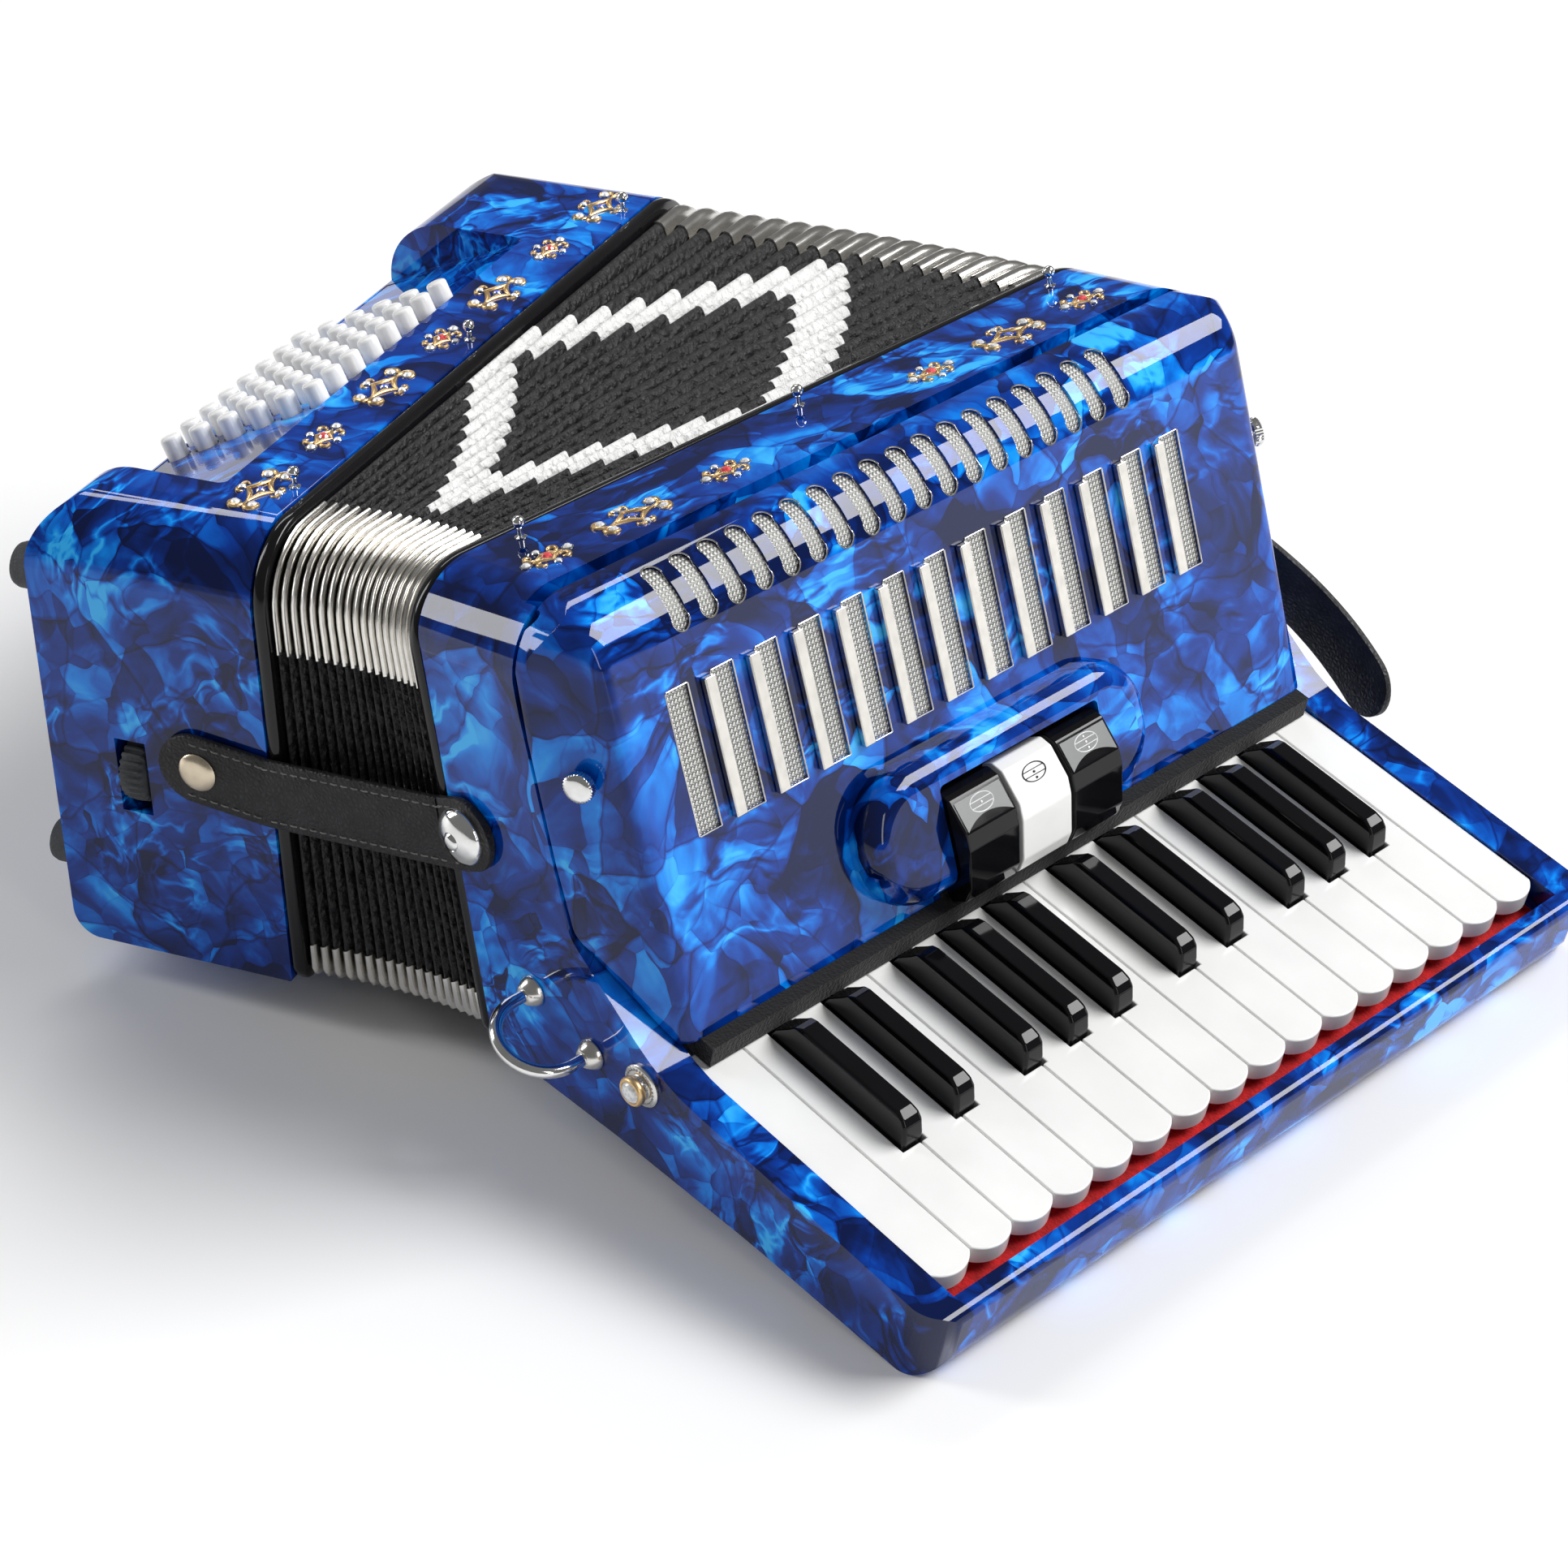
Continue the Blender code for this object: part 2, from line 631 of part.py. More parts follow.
def add_key(name, mesh, look, centre, frame):
    pivot = in_key(AXLE_AT[0], centre, AXLE_AT[1])
    key = build(name, mesh, look, frame, pivot=pivot)
    width = 2.5

    def place(u, v, height):
        return Vector((u, centre + CHEEK + height, v))
    lever = extrude(lever_outline(), -width, width, place)
    boolean(key, cutter(name + "_lever", lever, frame), "UNION")


def keyboard(frame):
    for index in range(WHITE_KEYS):
        outline = white_outline(index)
        mesh = extrude(outline, -KEY_THICKNESS, 0.0, in_key)
        tail_centre = (outline[0].y + outline[-1].y) / 2
        add_key("white_key_%02d" % (index + 1), mesh, "white_key", tail_centre, frame)
    for number, centre in enumerate(black_centres().values()):
        rings = []
        half = BLACK_WIDTH / 2
        for x0, x1, wide, z in ((0.3, BLACK_LENGTH, half, -KEY_THICKNESS),
                                (0.3, BLACK_LENGTH, half, 1.0),
                                (8.5, BLACK_LENGTH - 3.2, half - 0.5, BLACK_HEIGHT - 1.6),
                                (12.5, BLACK_LENGTH - 6.5, half - 1.3, BLACK_HEIGHT)):
            rings.append([in_key(x, centre + y, z) for x, y in
                          ((x0, -wide), (x1, -wide), (x1, wide), (x0, wide))])
        add_key("black_key_%02d" % (number + 1), loft(rings), "black_key", centre, frame)
    axle = [Vector((*key_point(*AXLE_AT), y)).xzy for y in
            (CHEEK + GAP, BODY_LENGTH - CHEEK - GAP)]
    build("key_axle", bar_along(axle, AXLE_RADIUS, 8), "steel", frame)


def felts(frame):
    last = BODY_LENGTH - 2 * CHEEK
    tray = rectangle(88, GAP, WELL_END - GAP, last - GAP)
    bed = extrude(tray, BED_LEVEL + GAP, BED_LEVEL + BED_FELT, in_key)
    build("key_bed_felt", bed, "red_felt", frame)
    wiper = rectangle(-8.0, 3.6, -0.3, last - 3.6)
    strip = extrude(wiper, 0.7, 9.0, in_key)
    felt = build("grille_felt", strip, "black_felt", frame)
    boolean(felt, cutter("felt_clearance", loft(grille_rings(-GAP)), frame))


# ---------------------------------------------------------------- bellows

def opening_outline(outer):
    """The air way through the bellows, one point for each point of the outline round it."""
    high = (BODY_LENGTH - BELLOWS_WALL, BODY_DEPTH - BELLOWS_WALL)
    return [Vector((min(max(u, BELLOWS_WALL), high[0]), min(max(v, BELLOWS_WALL), high[1])))
            for u, v in outer]


def bellows_frame(name, frame, x0, x1):
    """Wooden end frame of the bellows, with its lip flush with the casing."""
    outer = end_outline()
    rings = [[Vector((x, u, v)) for u, v in outline] for x, outline in
             ((x0, outer), (x1, outer), (x1, opening_outline(outer)), (x0, opening_outline(outer)))]
    build(name, tube(rings), "frame_black", frame)


def bellows_section(number, treble, fan_axis, pivot):
    """A run of pleats, closed up tight; it swings by its own share of the fan."""
    share = (number - 0.5) / SECTIONS
    frame = Frame("bellows_swing_%d" % number, treble, pivot, fan_axis, FAN_OPEN * share)
    room = (CLOSED_THICKNESS - 2 * FRAME_THICKNESS - 4 * GAP) / SECTIONS
    start = -FRAME_THICKNESS - 2 * GAP - room * (number - 1)
    rings = []
    stations = PLEATS_PER_SECTION * 2
    for station in range(stations + 1):
        x = start - (room - GAP) * station / stations
        inset = BELLOWS_INSET + (PLEAT_DEPTH if station % 2 == 0 else 0.0)
        rings.append([Vector((x, u, v)) for u, v in end_outline(inset, 46)])
    inner = opening_outline(end_outline(0, 46))
    for x in (start - (room - GAP), start):
        rings.append([Vector((x, u, v)) for u, v in inner])
    build("bellows_section_%d" % number, tube(rings), "bellows_cloth", frame)


# ---------------------------------------------------------------- bass side

def bass_outline():
    return rounded([(-BASS_WIDTH, 0, 10), (0, 0, 1), (0, BODY_DEPTH, 1),
                    (-BASS_WIDTH, BODY_DEPTH, 24)], 22.0)


def bass_casing(frame):
    outer = extrude(bass_outline(), 0, BODY_LENGTH, along_y)
    lip_bevel(outer, 5.0, 2)
    casing = build("bass_casing", outer, "pearl_blue", frame)
    boolean(casing, corner_mask("bass_corner_mask", frame, -10), "INTERSECT")
    slope = rectangle(RECESS_Y[0], 0, RECESS_Y[1], 90)
    boolean(casing, cutter("board_recess", extrude(slope, 0, 40, on_board), frame))
    opening = rectangle(RECESS_Y[0] + RECESS_RIM, BOARD_DOWN[0],
                        RECESS_Y[1] - RECESS_RIM, BOARD_DOWN[1])
    boolean(casing, cutter("board_opening", extrude(opening, -14, 5, on_board), frame))
    bay = [Vector((5, CASING_WALL)), Vector((5, BODY_DEPTH - 8)), Vector((-24, BODY_DEPTH - 8))]
    low_edge = on_board(0, 58, -8)
    bay += [Vector((low_edge.x, low_edge.z)), Vector((-BASS_WIDTH + 8, CASING_WALL))]
    hollow = extrude(bay, CASING_WALL, BODY_LENGTH - CASING_WALL, along_y)
    boolean(casing, cutter("bass_bay", hollow, frame))
    cover = box((-BASS_WIDTH - 5, COVER_Y[0], COVER_Z[0]), (-BASS_WIDTH + 12, COVER_Y[1], COVER_Z[1]))
    boolean(casing, cutter("cover_opening", cover, frame))
    wheel_x, wheel_y, wheel_z = WHEEL_AT
    slot = box((wheel_x - WHEEL_HALF - 1.5, -3, wheel_z - WHEEL_RADIUS - 2),
               (wheel_x + WHEEL_HALF + 1.5, wheel_y + WHEEL_RADIUS + 4, wheel_z + WHEEL_RADIUS + 2))
    boolean(casing, cutter("wheel_slot", slot, frame))
    holes = [foot_post(y, z, GAP) for y, z in FEET_AT]
    boolean(casing, cutter("foot_holes", join(holes), frame))


def bass_cover(frame):
    plate = box((-BASS_WIDTH + 0.4, COVER_Y[0] + GAP, COVER_Z[0] + GAP),
                (-BASS_WIDTH + 0.4 + COVER_THICKNESS, COVER_Y[1] - GAP, COVER_Z[1] - GAP))
    cover = build("bass_cover", plate, "pearl_blue", frame)
    hole = extrude(disc(*AIR_AT, AIR_RADIUS + 0.6, 12), -BASS_WIDTH - 5, -BASS_WIDTH + 12, along_x)
    boolean(cover, cutter("air_hole", hole, frame))


def disc(u, v, radius, sides):
    return [Vector((u + radius * math.cos(2 * math.pi * k / sides),
                    v + radius * math.sin(2 * math.pi * k / sides))) for k in range(sides)]


def air_button(frame):
    """Air valve button in the bass cover, on a wider flange behind it."""
    rings = []
    for x, radius in ((-5.0, AIR_RADIUS - 1.2), (-4.0, AIR_RADIUS), (4.2, AIR_RADIUS),
                      (4.2, AIR_RADIUS + 3.6), (6.0, AIR_RADIUS + 3.6)):
        rings.append([Vector((x - BASS_WIDTH, u, v)) for u, v in disc(*AIR_AT, radius, 12)])
    build("air_button", loft(rings), "white_button", frame, pivot=(-BASS_WIDTH, *AIR_AT))


def button_place(row, column):
    down = BUTTON_FIRST[0] + row * BUTTON_ROW_PITCH
    along = BUTTON_FIRST[1] + row * BUTTON_ROW_SHIFT + column * BUTTON_PITCH
    return along, down


def button_board(frame):
    rim = RECESS_RIM + GAP
    outline = rectangle(RECESS_Y[0] + rim, BOARD_DOWN[0] + GAP,
                        RECESS_Y[1] - rim, BOARD_DOWN[1] - GAP)
    board = build("bass_button_board", extrude(outline, -3.0, -0.2, on_board), "pearl_blue", frame)
    holes = []
    for row in range(BUTTON_ROWS):
        for column in range(BUTTON_COLUMNS):
            along, down = button_place(row, column)
            holes.append(extrude(disc(along, down, HOLE_RADIUS, 6), -6, 3, on_board))
    boolean(board, cutter("button_holes", join(holes), frame))


def button_rows(frame):
    """Each row of buttons stands on its own rail under the board."""
    for row in range(BUTTON_ROWS):
        buttons = []
        for column in range(BUTTON_COLUMNS):
            along, down = button_place(row, column)
            shape = disc(along, down, BUTTON_RADIUS, 8)
            buttons.append(extrude(shape, -9.0, BUTTON_HEIGHT, on_board))
        first, down = button_place(row, 0)
        last, down = button_place(row, BUTTON_COLUMNS - 1)
        rail = rectangle(first - 3, down - 3.2, last + 3, down + 3.2)
        name = "bass_button_row_%d" % (row + 1)
        made = build(name, extrude(rail, -9.6, -8.0, on_board), "white_button", frame,
                     pivot=on_board((first + last) / 2, down, 0))
        boolean(made, cutter(name + "_caps", join(buttons), frame), "UNION")


def strap_wheel(frame):
    """Thumb wheel for the hand strap, half sunk in a slot at the chin end."""
    rings = []
    wheel_x, wheel_y, wheel_z = WHEEL_AT
    for x, radius in ((-WHEEL_HALF, WHEEL_RADIUS - 1.5), (1 - WHEEL_HALF, WHEEL_RADIUS),
                      (WHEEL_HALF - 1, WHEEL_RADIUS), (WHEEL_HALF, WHEEL_RADIUS - 1.5)):
        rings.append([Vector((wheel_x + x, u, v)) for u, v in disc(wheel_y, wheel_z, radius, 20)])
    build("strap_wheel", loft(rings), "rubber", frame, pivot=WHEEL_AT)


def hand_strap(frame):
    """Padded hand strap bowed over the bass cover, from end to end."""
    steps = 14
    start, end = HAND_STRAP_Y
    outer, inner = [], []
    for step in range(steps + 1):
        t = step / steps
        y = start + (end - start) * t
        lift = HAND_STRAP_BOW * math.sin(math.pi * t)
        outer.append(Vector((-BASS_WIDTH - GAP - HAND_STRAP_THICKNESS - lift, y)))
        inner.append(Vector((-BASS_WIDTH - GAP - lift, y)))
    outline = outer + inner[::-1]

    def place(u, v, height):
        return Vector((u, v, height))
    build("hand_strap", extrude(outline, *HAND_STRAP_Z, place), "black_leather", frame)


def foot_post(y, z, grow):
    """One foot on its stem; grow widens the stem alone, for the hole that it runs in."""
    inside = FOOT_STRIP_X + 1.6
    outside = -BASS_WIDTH - GAP
    if grow:
        stations = ((inside, STEM_RADIUS + grow), (outside - 1, STEM_RADIUS + grow))
    else:
        stations = ((inside, STEM_RADIUS), (outside, STEM_RADIUS), (outside, FOOT_RADIUS),
                    (-BASS_WIDTH - FOOT_HEIGHT + 1.5, FOOT_RADIUS - 0.5),
                    (-BASS_WIDTH - FOOT_HEIGHT, FOOT_RADIUS - 1.7))
    return loft([[Vector((x, u, v)) for u, v in disc(y, z, radius, 12)] for x, radius in stations])


def bass_feet(frame):
    """Four rubber feet moulded on stems that pass through the wall to a strip inside."""
    low, high = FOOT_STRIP_X, FOOT_STRIP_X + 2.0
    uprights = [box((low + 0.2, 11, 27), (high - 0.2, 15, 138)),
                box((low + 0.2, 282, 125), (high - 0.2, 286, 138))]
    strips = [box((low, 11, 26), (high, BODY_LENGTH - 11, 32)),
              box((low, 10.5, 124), (high, 288, 130))]
    carrier = build("bass_feet", strips[0], "rubber", frame)
    boolean(carrier, cutter("foot_uprights", join(uprights), frame), "UNION")
    boolean(carrier, cutter("foot_strip", strips[1], frame), "UNION")
    posts = [foot_post(y, z, 0) for y, z in FEET_AT]
    boolean(carrier, cutter("foot_posts", join(posts), frame), "UNION")


# ---------------------------------------------------------------- straps and rings

def strap_ring(name, frame, face_y, outward):
    """Round steel staple for the shoulder strap, standing out of an end face."""
    feet_at = [Vector((x, 0, z)) for x, z in RING_FEET]
    middle = (feet_at[0] + feet_at[1]) / 2
    half = (feet_at[1] - feet_at[0]) / 2
    points = []
    for out in (GAP, 6.0):
        points.append(feet_at[0] + Vector((0, face_y + outward * out, 0)))
    for step in range(9):
        turn = math.pi * step / 8
        points.append(middle - half * math.cos(turn)
                      + Vector((0, face_y + outward * (RING_REACH + half.length * math.sin(turn)), 0)))
    for out in (6.0, GAP):
        points.append(feet_at[1] + Vector((0, face_y + outward * out, 0)))
    build(name, bar_along(points, RING_RADIUS, 8), "chrome", frame)


def strap(name, frame, path, outward, pivot=(0, 0, 0)):
    """Leather strap along a path, with round ends; outward is its outer side at each point."""
    lengths = [0.0]
    for before, after in zip(path, path[1:]):
        lengths.append(lengths[-1] + (after - before).length)
    whole = lengths[-1]
    ends = [STRAP_HALF * share for share in (0.03, 0.2, 0.55, 1.0)]
    stations = sorted(ends + lengths[1:-1] + [whole - end for end in ends])
    rings = []
    for station in stations:
        span = max(k for k in range(len(path) - 1) if lengths[k] <= station)
        share = (station - lengths[span]) / (lengths[span + 1] - lengths[span])
        point = path[span].lerp(path[span + 1], share)
        out = outward[span].lerp(outward[span + 1], share).normalized()
        across = out.cross(path[span + 1] - path[span]).normalized()
        edge = max(STRAP_HALF - min(station, whole - station), 0.0)
        half = math.sqrt(STRAP_HALF ** 2 - edge ** 2)
        rings.append([point - across * half, point + across * half,
                      point + across * half + out * STRAP_THICKNESS,
                      point - across * half + out * STRAP_THICKNESS])
    build(name, loft(rings), "black_leather", frame, pivot=pivot)


def top_strap(frame, to_bass):
    """Snapped bellows strap: it lies on both end faces and spans the folds between."""
    path = [Vector((x, -GAP, z)) for x, z in NEAR_STRAP_BASS]
    path += [to_bass @ Vector((x, -GAP, z)) for x, z in NEAR_STRAP_TREBLE]
    bass_out = Vector((0, -1, 0))
    treble_out = to_bass.to_3x3() @ bass_out
    strap("top_bellows_strap", frame, path, [bass_out, bass_out, treble_out, treble_out])


def bottom_strap(frame):
    """Bellows strap hanging unsnapped at the far end; it turns on its rivet."""
    start = Vector(FAR_STRAP_PIVOT)
    end = Vector((FAR_STRAP_END[0], start.y, FAR_STRAP_END[1]))
    heading = (end - start).normalized()
    start -= heading * STRAP_HALF
    steps = 7
    path = []
    outward = []
    for step in range(steps + 1):
        turn = 0.75 * math.pi * max(step - 1, 0) / (steps - 1)
        bow = math.sin(turn)
        path.append(start.lerp(end, step / steps) + Vector((0, FAR_STRAP_BOW * bow, 0)))
        slope = 0.0 if step < 2 else -0.42 * math.cos(turn)
        outward.append((Vector((0, 1, 0)) + heading * slope).normalized())
    strap("bottom_bellows_strap", frame, path, outward, pivot=FAR_STRAP_PIVOT)


# ---------------------------------------------------------------- assembly

def fan_geometry():
    tilt = math.radians(FAN_AXIS_TILT)
    axis = Vector((0, math.sin(tilt), math.cos(tilt)))
    pivot = Vector((FAN_AXIS_X, FAN_AXIS_REACH * math.cos(tilt), -FAN_AXIS_REACH * math.sin(tilt)))
    return axis, pivot


def settle(root):
    """Stand the instrument on the floor, with the origin under the middle of its box."""
    bpy.context.view_layer.update()
    graph = bpy.context.evaluated_depsgraph_get()
    low = Vector((math.inf, math.inf, math.inf))
    high = -low
    for item in bpy.context.scene.objects:
        if item.type != "MESH" or item.hide_render:
            continue
        solid = item.evaluated_get(graph)
        for corner in solid.data.vertices:
            point = solid.matrix_world @ corner.co
            low = Vector(map(min, low, point))
            high = Vector(map(max, high, point))
    middle = (low + high) / 2
    root.empty.location -= Vector((middle.x, middle.y, low.z))


def main():
    clear_scene()
    treble = Frame("treble_side", None, (0, 0, 0), (0, 1, 0), -REST_TILT)
    treble_casing(treble)
    treble_grille(treble)
    grille_mesh(treble)
    grille_bars(treble)
    reed_block("treble_reed_block", treble, 35.7, 3.0, 42.0)
    bellows_frame("treble_bellows_frame", treble, -GAP - FRAME_THICKNESS, -GAP)
    keyboard(treble)
    felts(treble)
    registers(treble)
    strap_ring("strap_ring_near", treble, 0.0, -1)
    strap_ring("strap_ring_far", treble, BODY_LENGTH, 1)
    bottom_strap(treble)

    fan_axis, pivot = fan_geometry()
    for number in range(1, SECTIONS + 1):
        bellows_section(number, treble, fan_axis, pivot)

    bass = Frame("bass_swing", treble, pivot, fan_axis, FAN_OPEN)
    bass.origin = pivot + Vector((CLOSED_THICKNESS, 0, 0))
    swing = Matrix.Rotation(math.radians(FAN_OPEN), 4, fan_axis)
    to_treble = Matrix.Translation(pivot) @ swing @ Matrix.Translation(-bass.origin)
    bass_casing(bass)
    bass_cover(bass)
    air_button(bass)
    button_board(bass)
    button_rows(bass)
    reed_block("bass_reed_block", bass, -20.0, -3.0)
    bellows_frame("bass_bellows_frame", bass, GAP, GAP + FRAME_THICKNESS)
    strap_wheel(bass)
    hand_strap(bass)
    bass_feet(bass)
    top_strap(bass, to_treble.inverted())
    settle(treble)


main()
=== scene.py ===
from math import acos, asin, ceil, cos, degrees, pi, radians, sin, sqrt, tan

import bmesh
import bpy
from mathutils import Matrix, Vector
from mathutils.bvhtree import BVHTree


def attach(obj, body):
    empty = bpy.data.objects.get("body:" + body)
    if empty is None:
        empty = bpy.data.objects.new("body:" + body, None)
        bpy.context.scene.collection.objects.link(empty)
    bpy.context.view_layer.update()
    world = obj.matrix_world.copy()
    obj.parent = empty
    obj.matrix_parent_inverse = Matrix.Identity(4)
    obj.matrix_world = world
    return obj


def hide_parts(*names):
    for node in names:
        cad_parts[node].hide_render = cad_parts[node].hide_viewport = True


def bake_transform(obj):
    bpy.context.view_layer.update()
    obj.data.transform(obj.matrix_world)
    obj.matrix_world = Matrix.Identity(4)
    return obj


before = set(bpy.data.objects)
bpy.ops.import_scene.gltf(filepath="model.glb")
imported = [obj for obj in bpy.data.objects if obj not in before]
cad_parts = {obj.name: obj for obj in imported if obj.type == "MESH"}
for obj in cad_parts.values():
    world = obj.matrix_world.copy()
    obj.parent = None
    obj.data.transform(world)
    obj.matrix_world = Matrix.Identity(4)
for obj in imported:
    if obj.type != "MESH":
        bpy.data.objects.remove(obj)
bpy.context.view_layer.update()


# ---------------------------------------------------------------- dimensions, mm
MM = 0.001
BODY_LENGTH = 325.0
BODY_DEPTH = 168.0
FRONT_RADIUS = 26.0
CHEEK = 13.7
KEY_PITCH = 18.6
KEY_TILT = radians(22.28)
GRILLE_TILT = radians(7.0)
BOARD_TILT = radians(22.7)
SEAM_X = 47.0
SEAM_GAP = 0.8
GRILLE_X = 89.0
GRILLE_Z = 21.0
GRILLE_TOP = 167.5
SHOULDER = 22
REGISTER_Y = 163.5
REGISTER_PITCH = 25.2
REGISTER_HALF = 11.8
RECESS_HALF = 37.8
BAR_SLOTS = 13
BAR_FIRST = 36.0
BAR_PITCH = 19.0
SLOT_LOW = 63.5
SLOT_HIGH = 112.5
SLOT_WIDTH = 9.4
OVAL_SLOTS = 18
OVAL_FIRST = 49.0
OVAL_PITCH = 11.9
OVAL_X = 67.0
OVAL_Z = 158.5
KEY_TAIL = -8
KEY_STEP = 62.2
KEY_TIP = 107.5
KEY_GAP = 0.3
KEY_THICK = 7.0
BLACK_HALF = 5.2
NOSE_RISE = 4.5
KNOB_X = 78
KNOB_Z = 10.0
BASS_WIDTH = 86.7
BUTTON_ROWS = 6
BUTTON_COLUMNS = 8
AIR_AT = (40, 106)
WHEEL_Y = 8.0
WHEEL_Z = 70.0
WHEEL_RADIUS = 12.0
HAND_START = 34.0
HAND_LENGTH = 257.0
HAND_LIFT = 24.0
CLOSED = 60.0
FAN_OPEN = radians(23.3)
FAN_LEAN = radians(17.56)
FAN_REACH = -63.0
REST_TILT = radians(9.91)
FOLDS = 18
BELLOWS_INSET = 2.4
FRAME_EDGE = 5.6
TAPE_HALF = 16

OVAL_OUT = Vector((cos(radians(45)), 0, sin(radians(45))))
OVAL_UP = Vector((-OVAL_OUT.z, 0, OVAL_OUT.x))
FAN_AXIS = Vector((0, sin(FAN_LEAN), cos(FAN_LEAN)))
FAN_PIVOT = Vector((-16.8, FAN_REACH * cos(FAN_LEAN), -FAN_REACH * sin(FAN_LEAN)))
TREBLE_AT = Vector((43.47297, -148.76981, 24.09270))
TREBLE = (Matrix.Scale(MM, 4) @ Matrix.Translation(TREBLE_AT)
          @ Matrix.Rotation(-REST_TILT, 4, "Y"))


def swing(angle):
    return (Matrix.Translation(FAN_PIVOT) @ Matrix.Rotation(angle, 4, FAN_AXIS)
            @ Matrix.Translation(-FAN_PIVOT))


BASS = TREBLE @ swing(FAN_OPEN) @ Matrix.Translation((-CLOSED, 0, 0))


# ---------------------------------------------------------------- materials


class Look:
    """A node material with short calls for the nodes that it needs."""

    def __init__(self, name, colour, roughness=0.4, metallic=0.0, **sockets):
        self.made = bpy.data.materials.new(name)
        self.made.use_nodes = True
        self.tree = self.made.node_tree
        self.shader = self.tree.nodes["Principled BSDF"]
        self.shader.inputs["Base Color"].default_value = (*colour, 1.0)
        self.shader.inputs["Roughness"].default_value = roughness
        self.shader.inputs["Metallic"].default_value = metallic
        for socket, value in sockets.items():
            self.shader.inputs[socket.replace("_", " ")].default_value = value
        self.place = self.node("ShaderNodeTexCoord").outputs["Object"]

    def node(self, kind, **settings):
        made = self.tree.nodes.new(kind)
        for name, value in settings.items():
            setattr(made, name, value)
        return made

    def link(self, source, target):
        self.tree.links.new(source, target)

    def fill(self, target, value):
        if isinstance(value, bpy.types.NodeSocket):
            self.link(value, target)
        else:
            target.default_value = value

    def maths(self, operation, a, b=0.0, clamp=False):
        made = self.node("ShaderNodeMath", operation=operation, use_clamp=clamp)
        self.fill(made.inputs[0], a)
        self.fill(made.inputs[1], b)
        return made.outputs[0]

    def plus(self, a, b):
        return self.maths("ADD", a, b)

    def minus(self, a, b, clamp=False):
        return self.maths("SUBTRACT", a, b, clamp)

    def times(self, a, b, clamp=False):
        return self.maths("MULTIPLY", a, b, clamp)

    def vector(self, operation, a, b, output=0):
        made = self.node("ShaderNodeVectorMath", operation=operation)
        self.fill(made.inputs[0], a)
        self.fill(made.inputs[1], b)
        return made.outputs[output]

    def scaled(self, source, factor):
        return self.vector("MULTIPLY", source, (factor, factor, factor))

    def noise(self, scale, detail=3.0, place=None, distortion=0.0, output="Fac"):
        made = self.node("ShaderNodeTexNoise")
        made.inputs["Scale"].default_value = scale
        made.inputs["Detail"].default_value = detail
        made.inputs["Distortion"].default_value = distortion
        self.link(place or self.place, made.inputs["Vector"])
        return made.outputs[output]

    def cells(self, scale, feature="F1", place=None):
        made = self.node("ShaderNodeTexVoronoi", feature=feature)
        made.inputs["Scale"].default_value = scale
        self.link(place or self.place, made.inputs["Vector"])
        return made

    def ramp(self, factor, stops):
        made = self.node("ShaderNodeValToRGB")
        ramp = made.color_ramp
        while len(ramp.elements) < len(stops):
            ramp.elements.new(0.5)
        for element, (position, colour) in zip(ramp.elements, stops):
            element.position = position
            element.color = (*colour, 1.0)
        self.link(factor, made.inputs["Fac"])
        return made.outputs["Color"]

    def span(self, factor, low, high):
        made = self.node("ShaderNodeMapRange")
        self.link(factor, made.inputs["Value"])
        made.inputs["To Min"].default_value = low
        made.inputs["To Max"].default_value = high
        return made.outputs["Result"]

    def colour(self, source):
        self.link(source, self.shader.inputs["Base Color"])

    def rough(self, source):
        self.link(source, self.shader.inputs["Roughness"])

    def bump(self, height, strength, distance):
        made = self.node("ShaderNodeBump")
        made.inputs["Strength"].default_value = strength
        made.inputs["Distance"].default_value = distance
        self.link(height, made.inputs["Height"])
        self.link(made.outputs["Normal"], self.shader.inputs["Normal"])


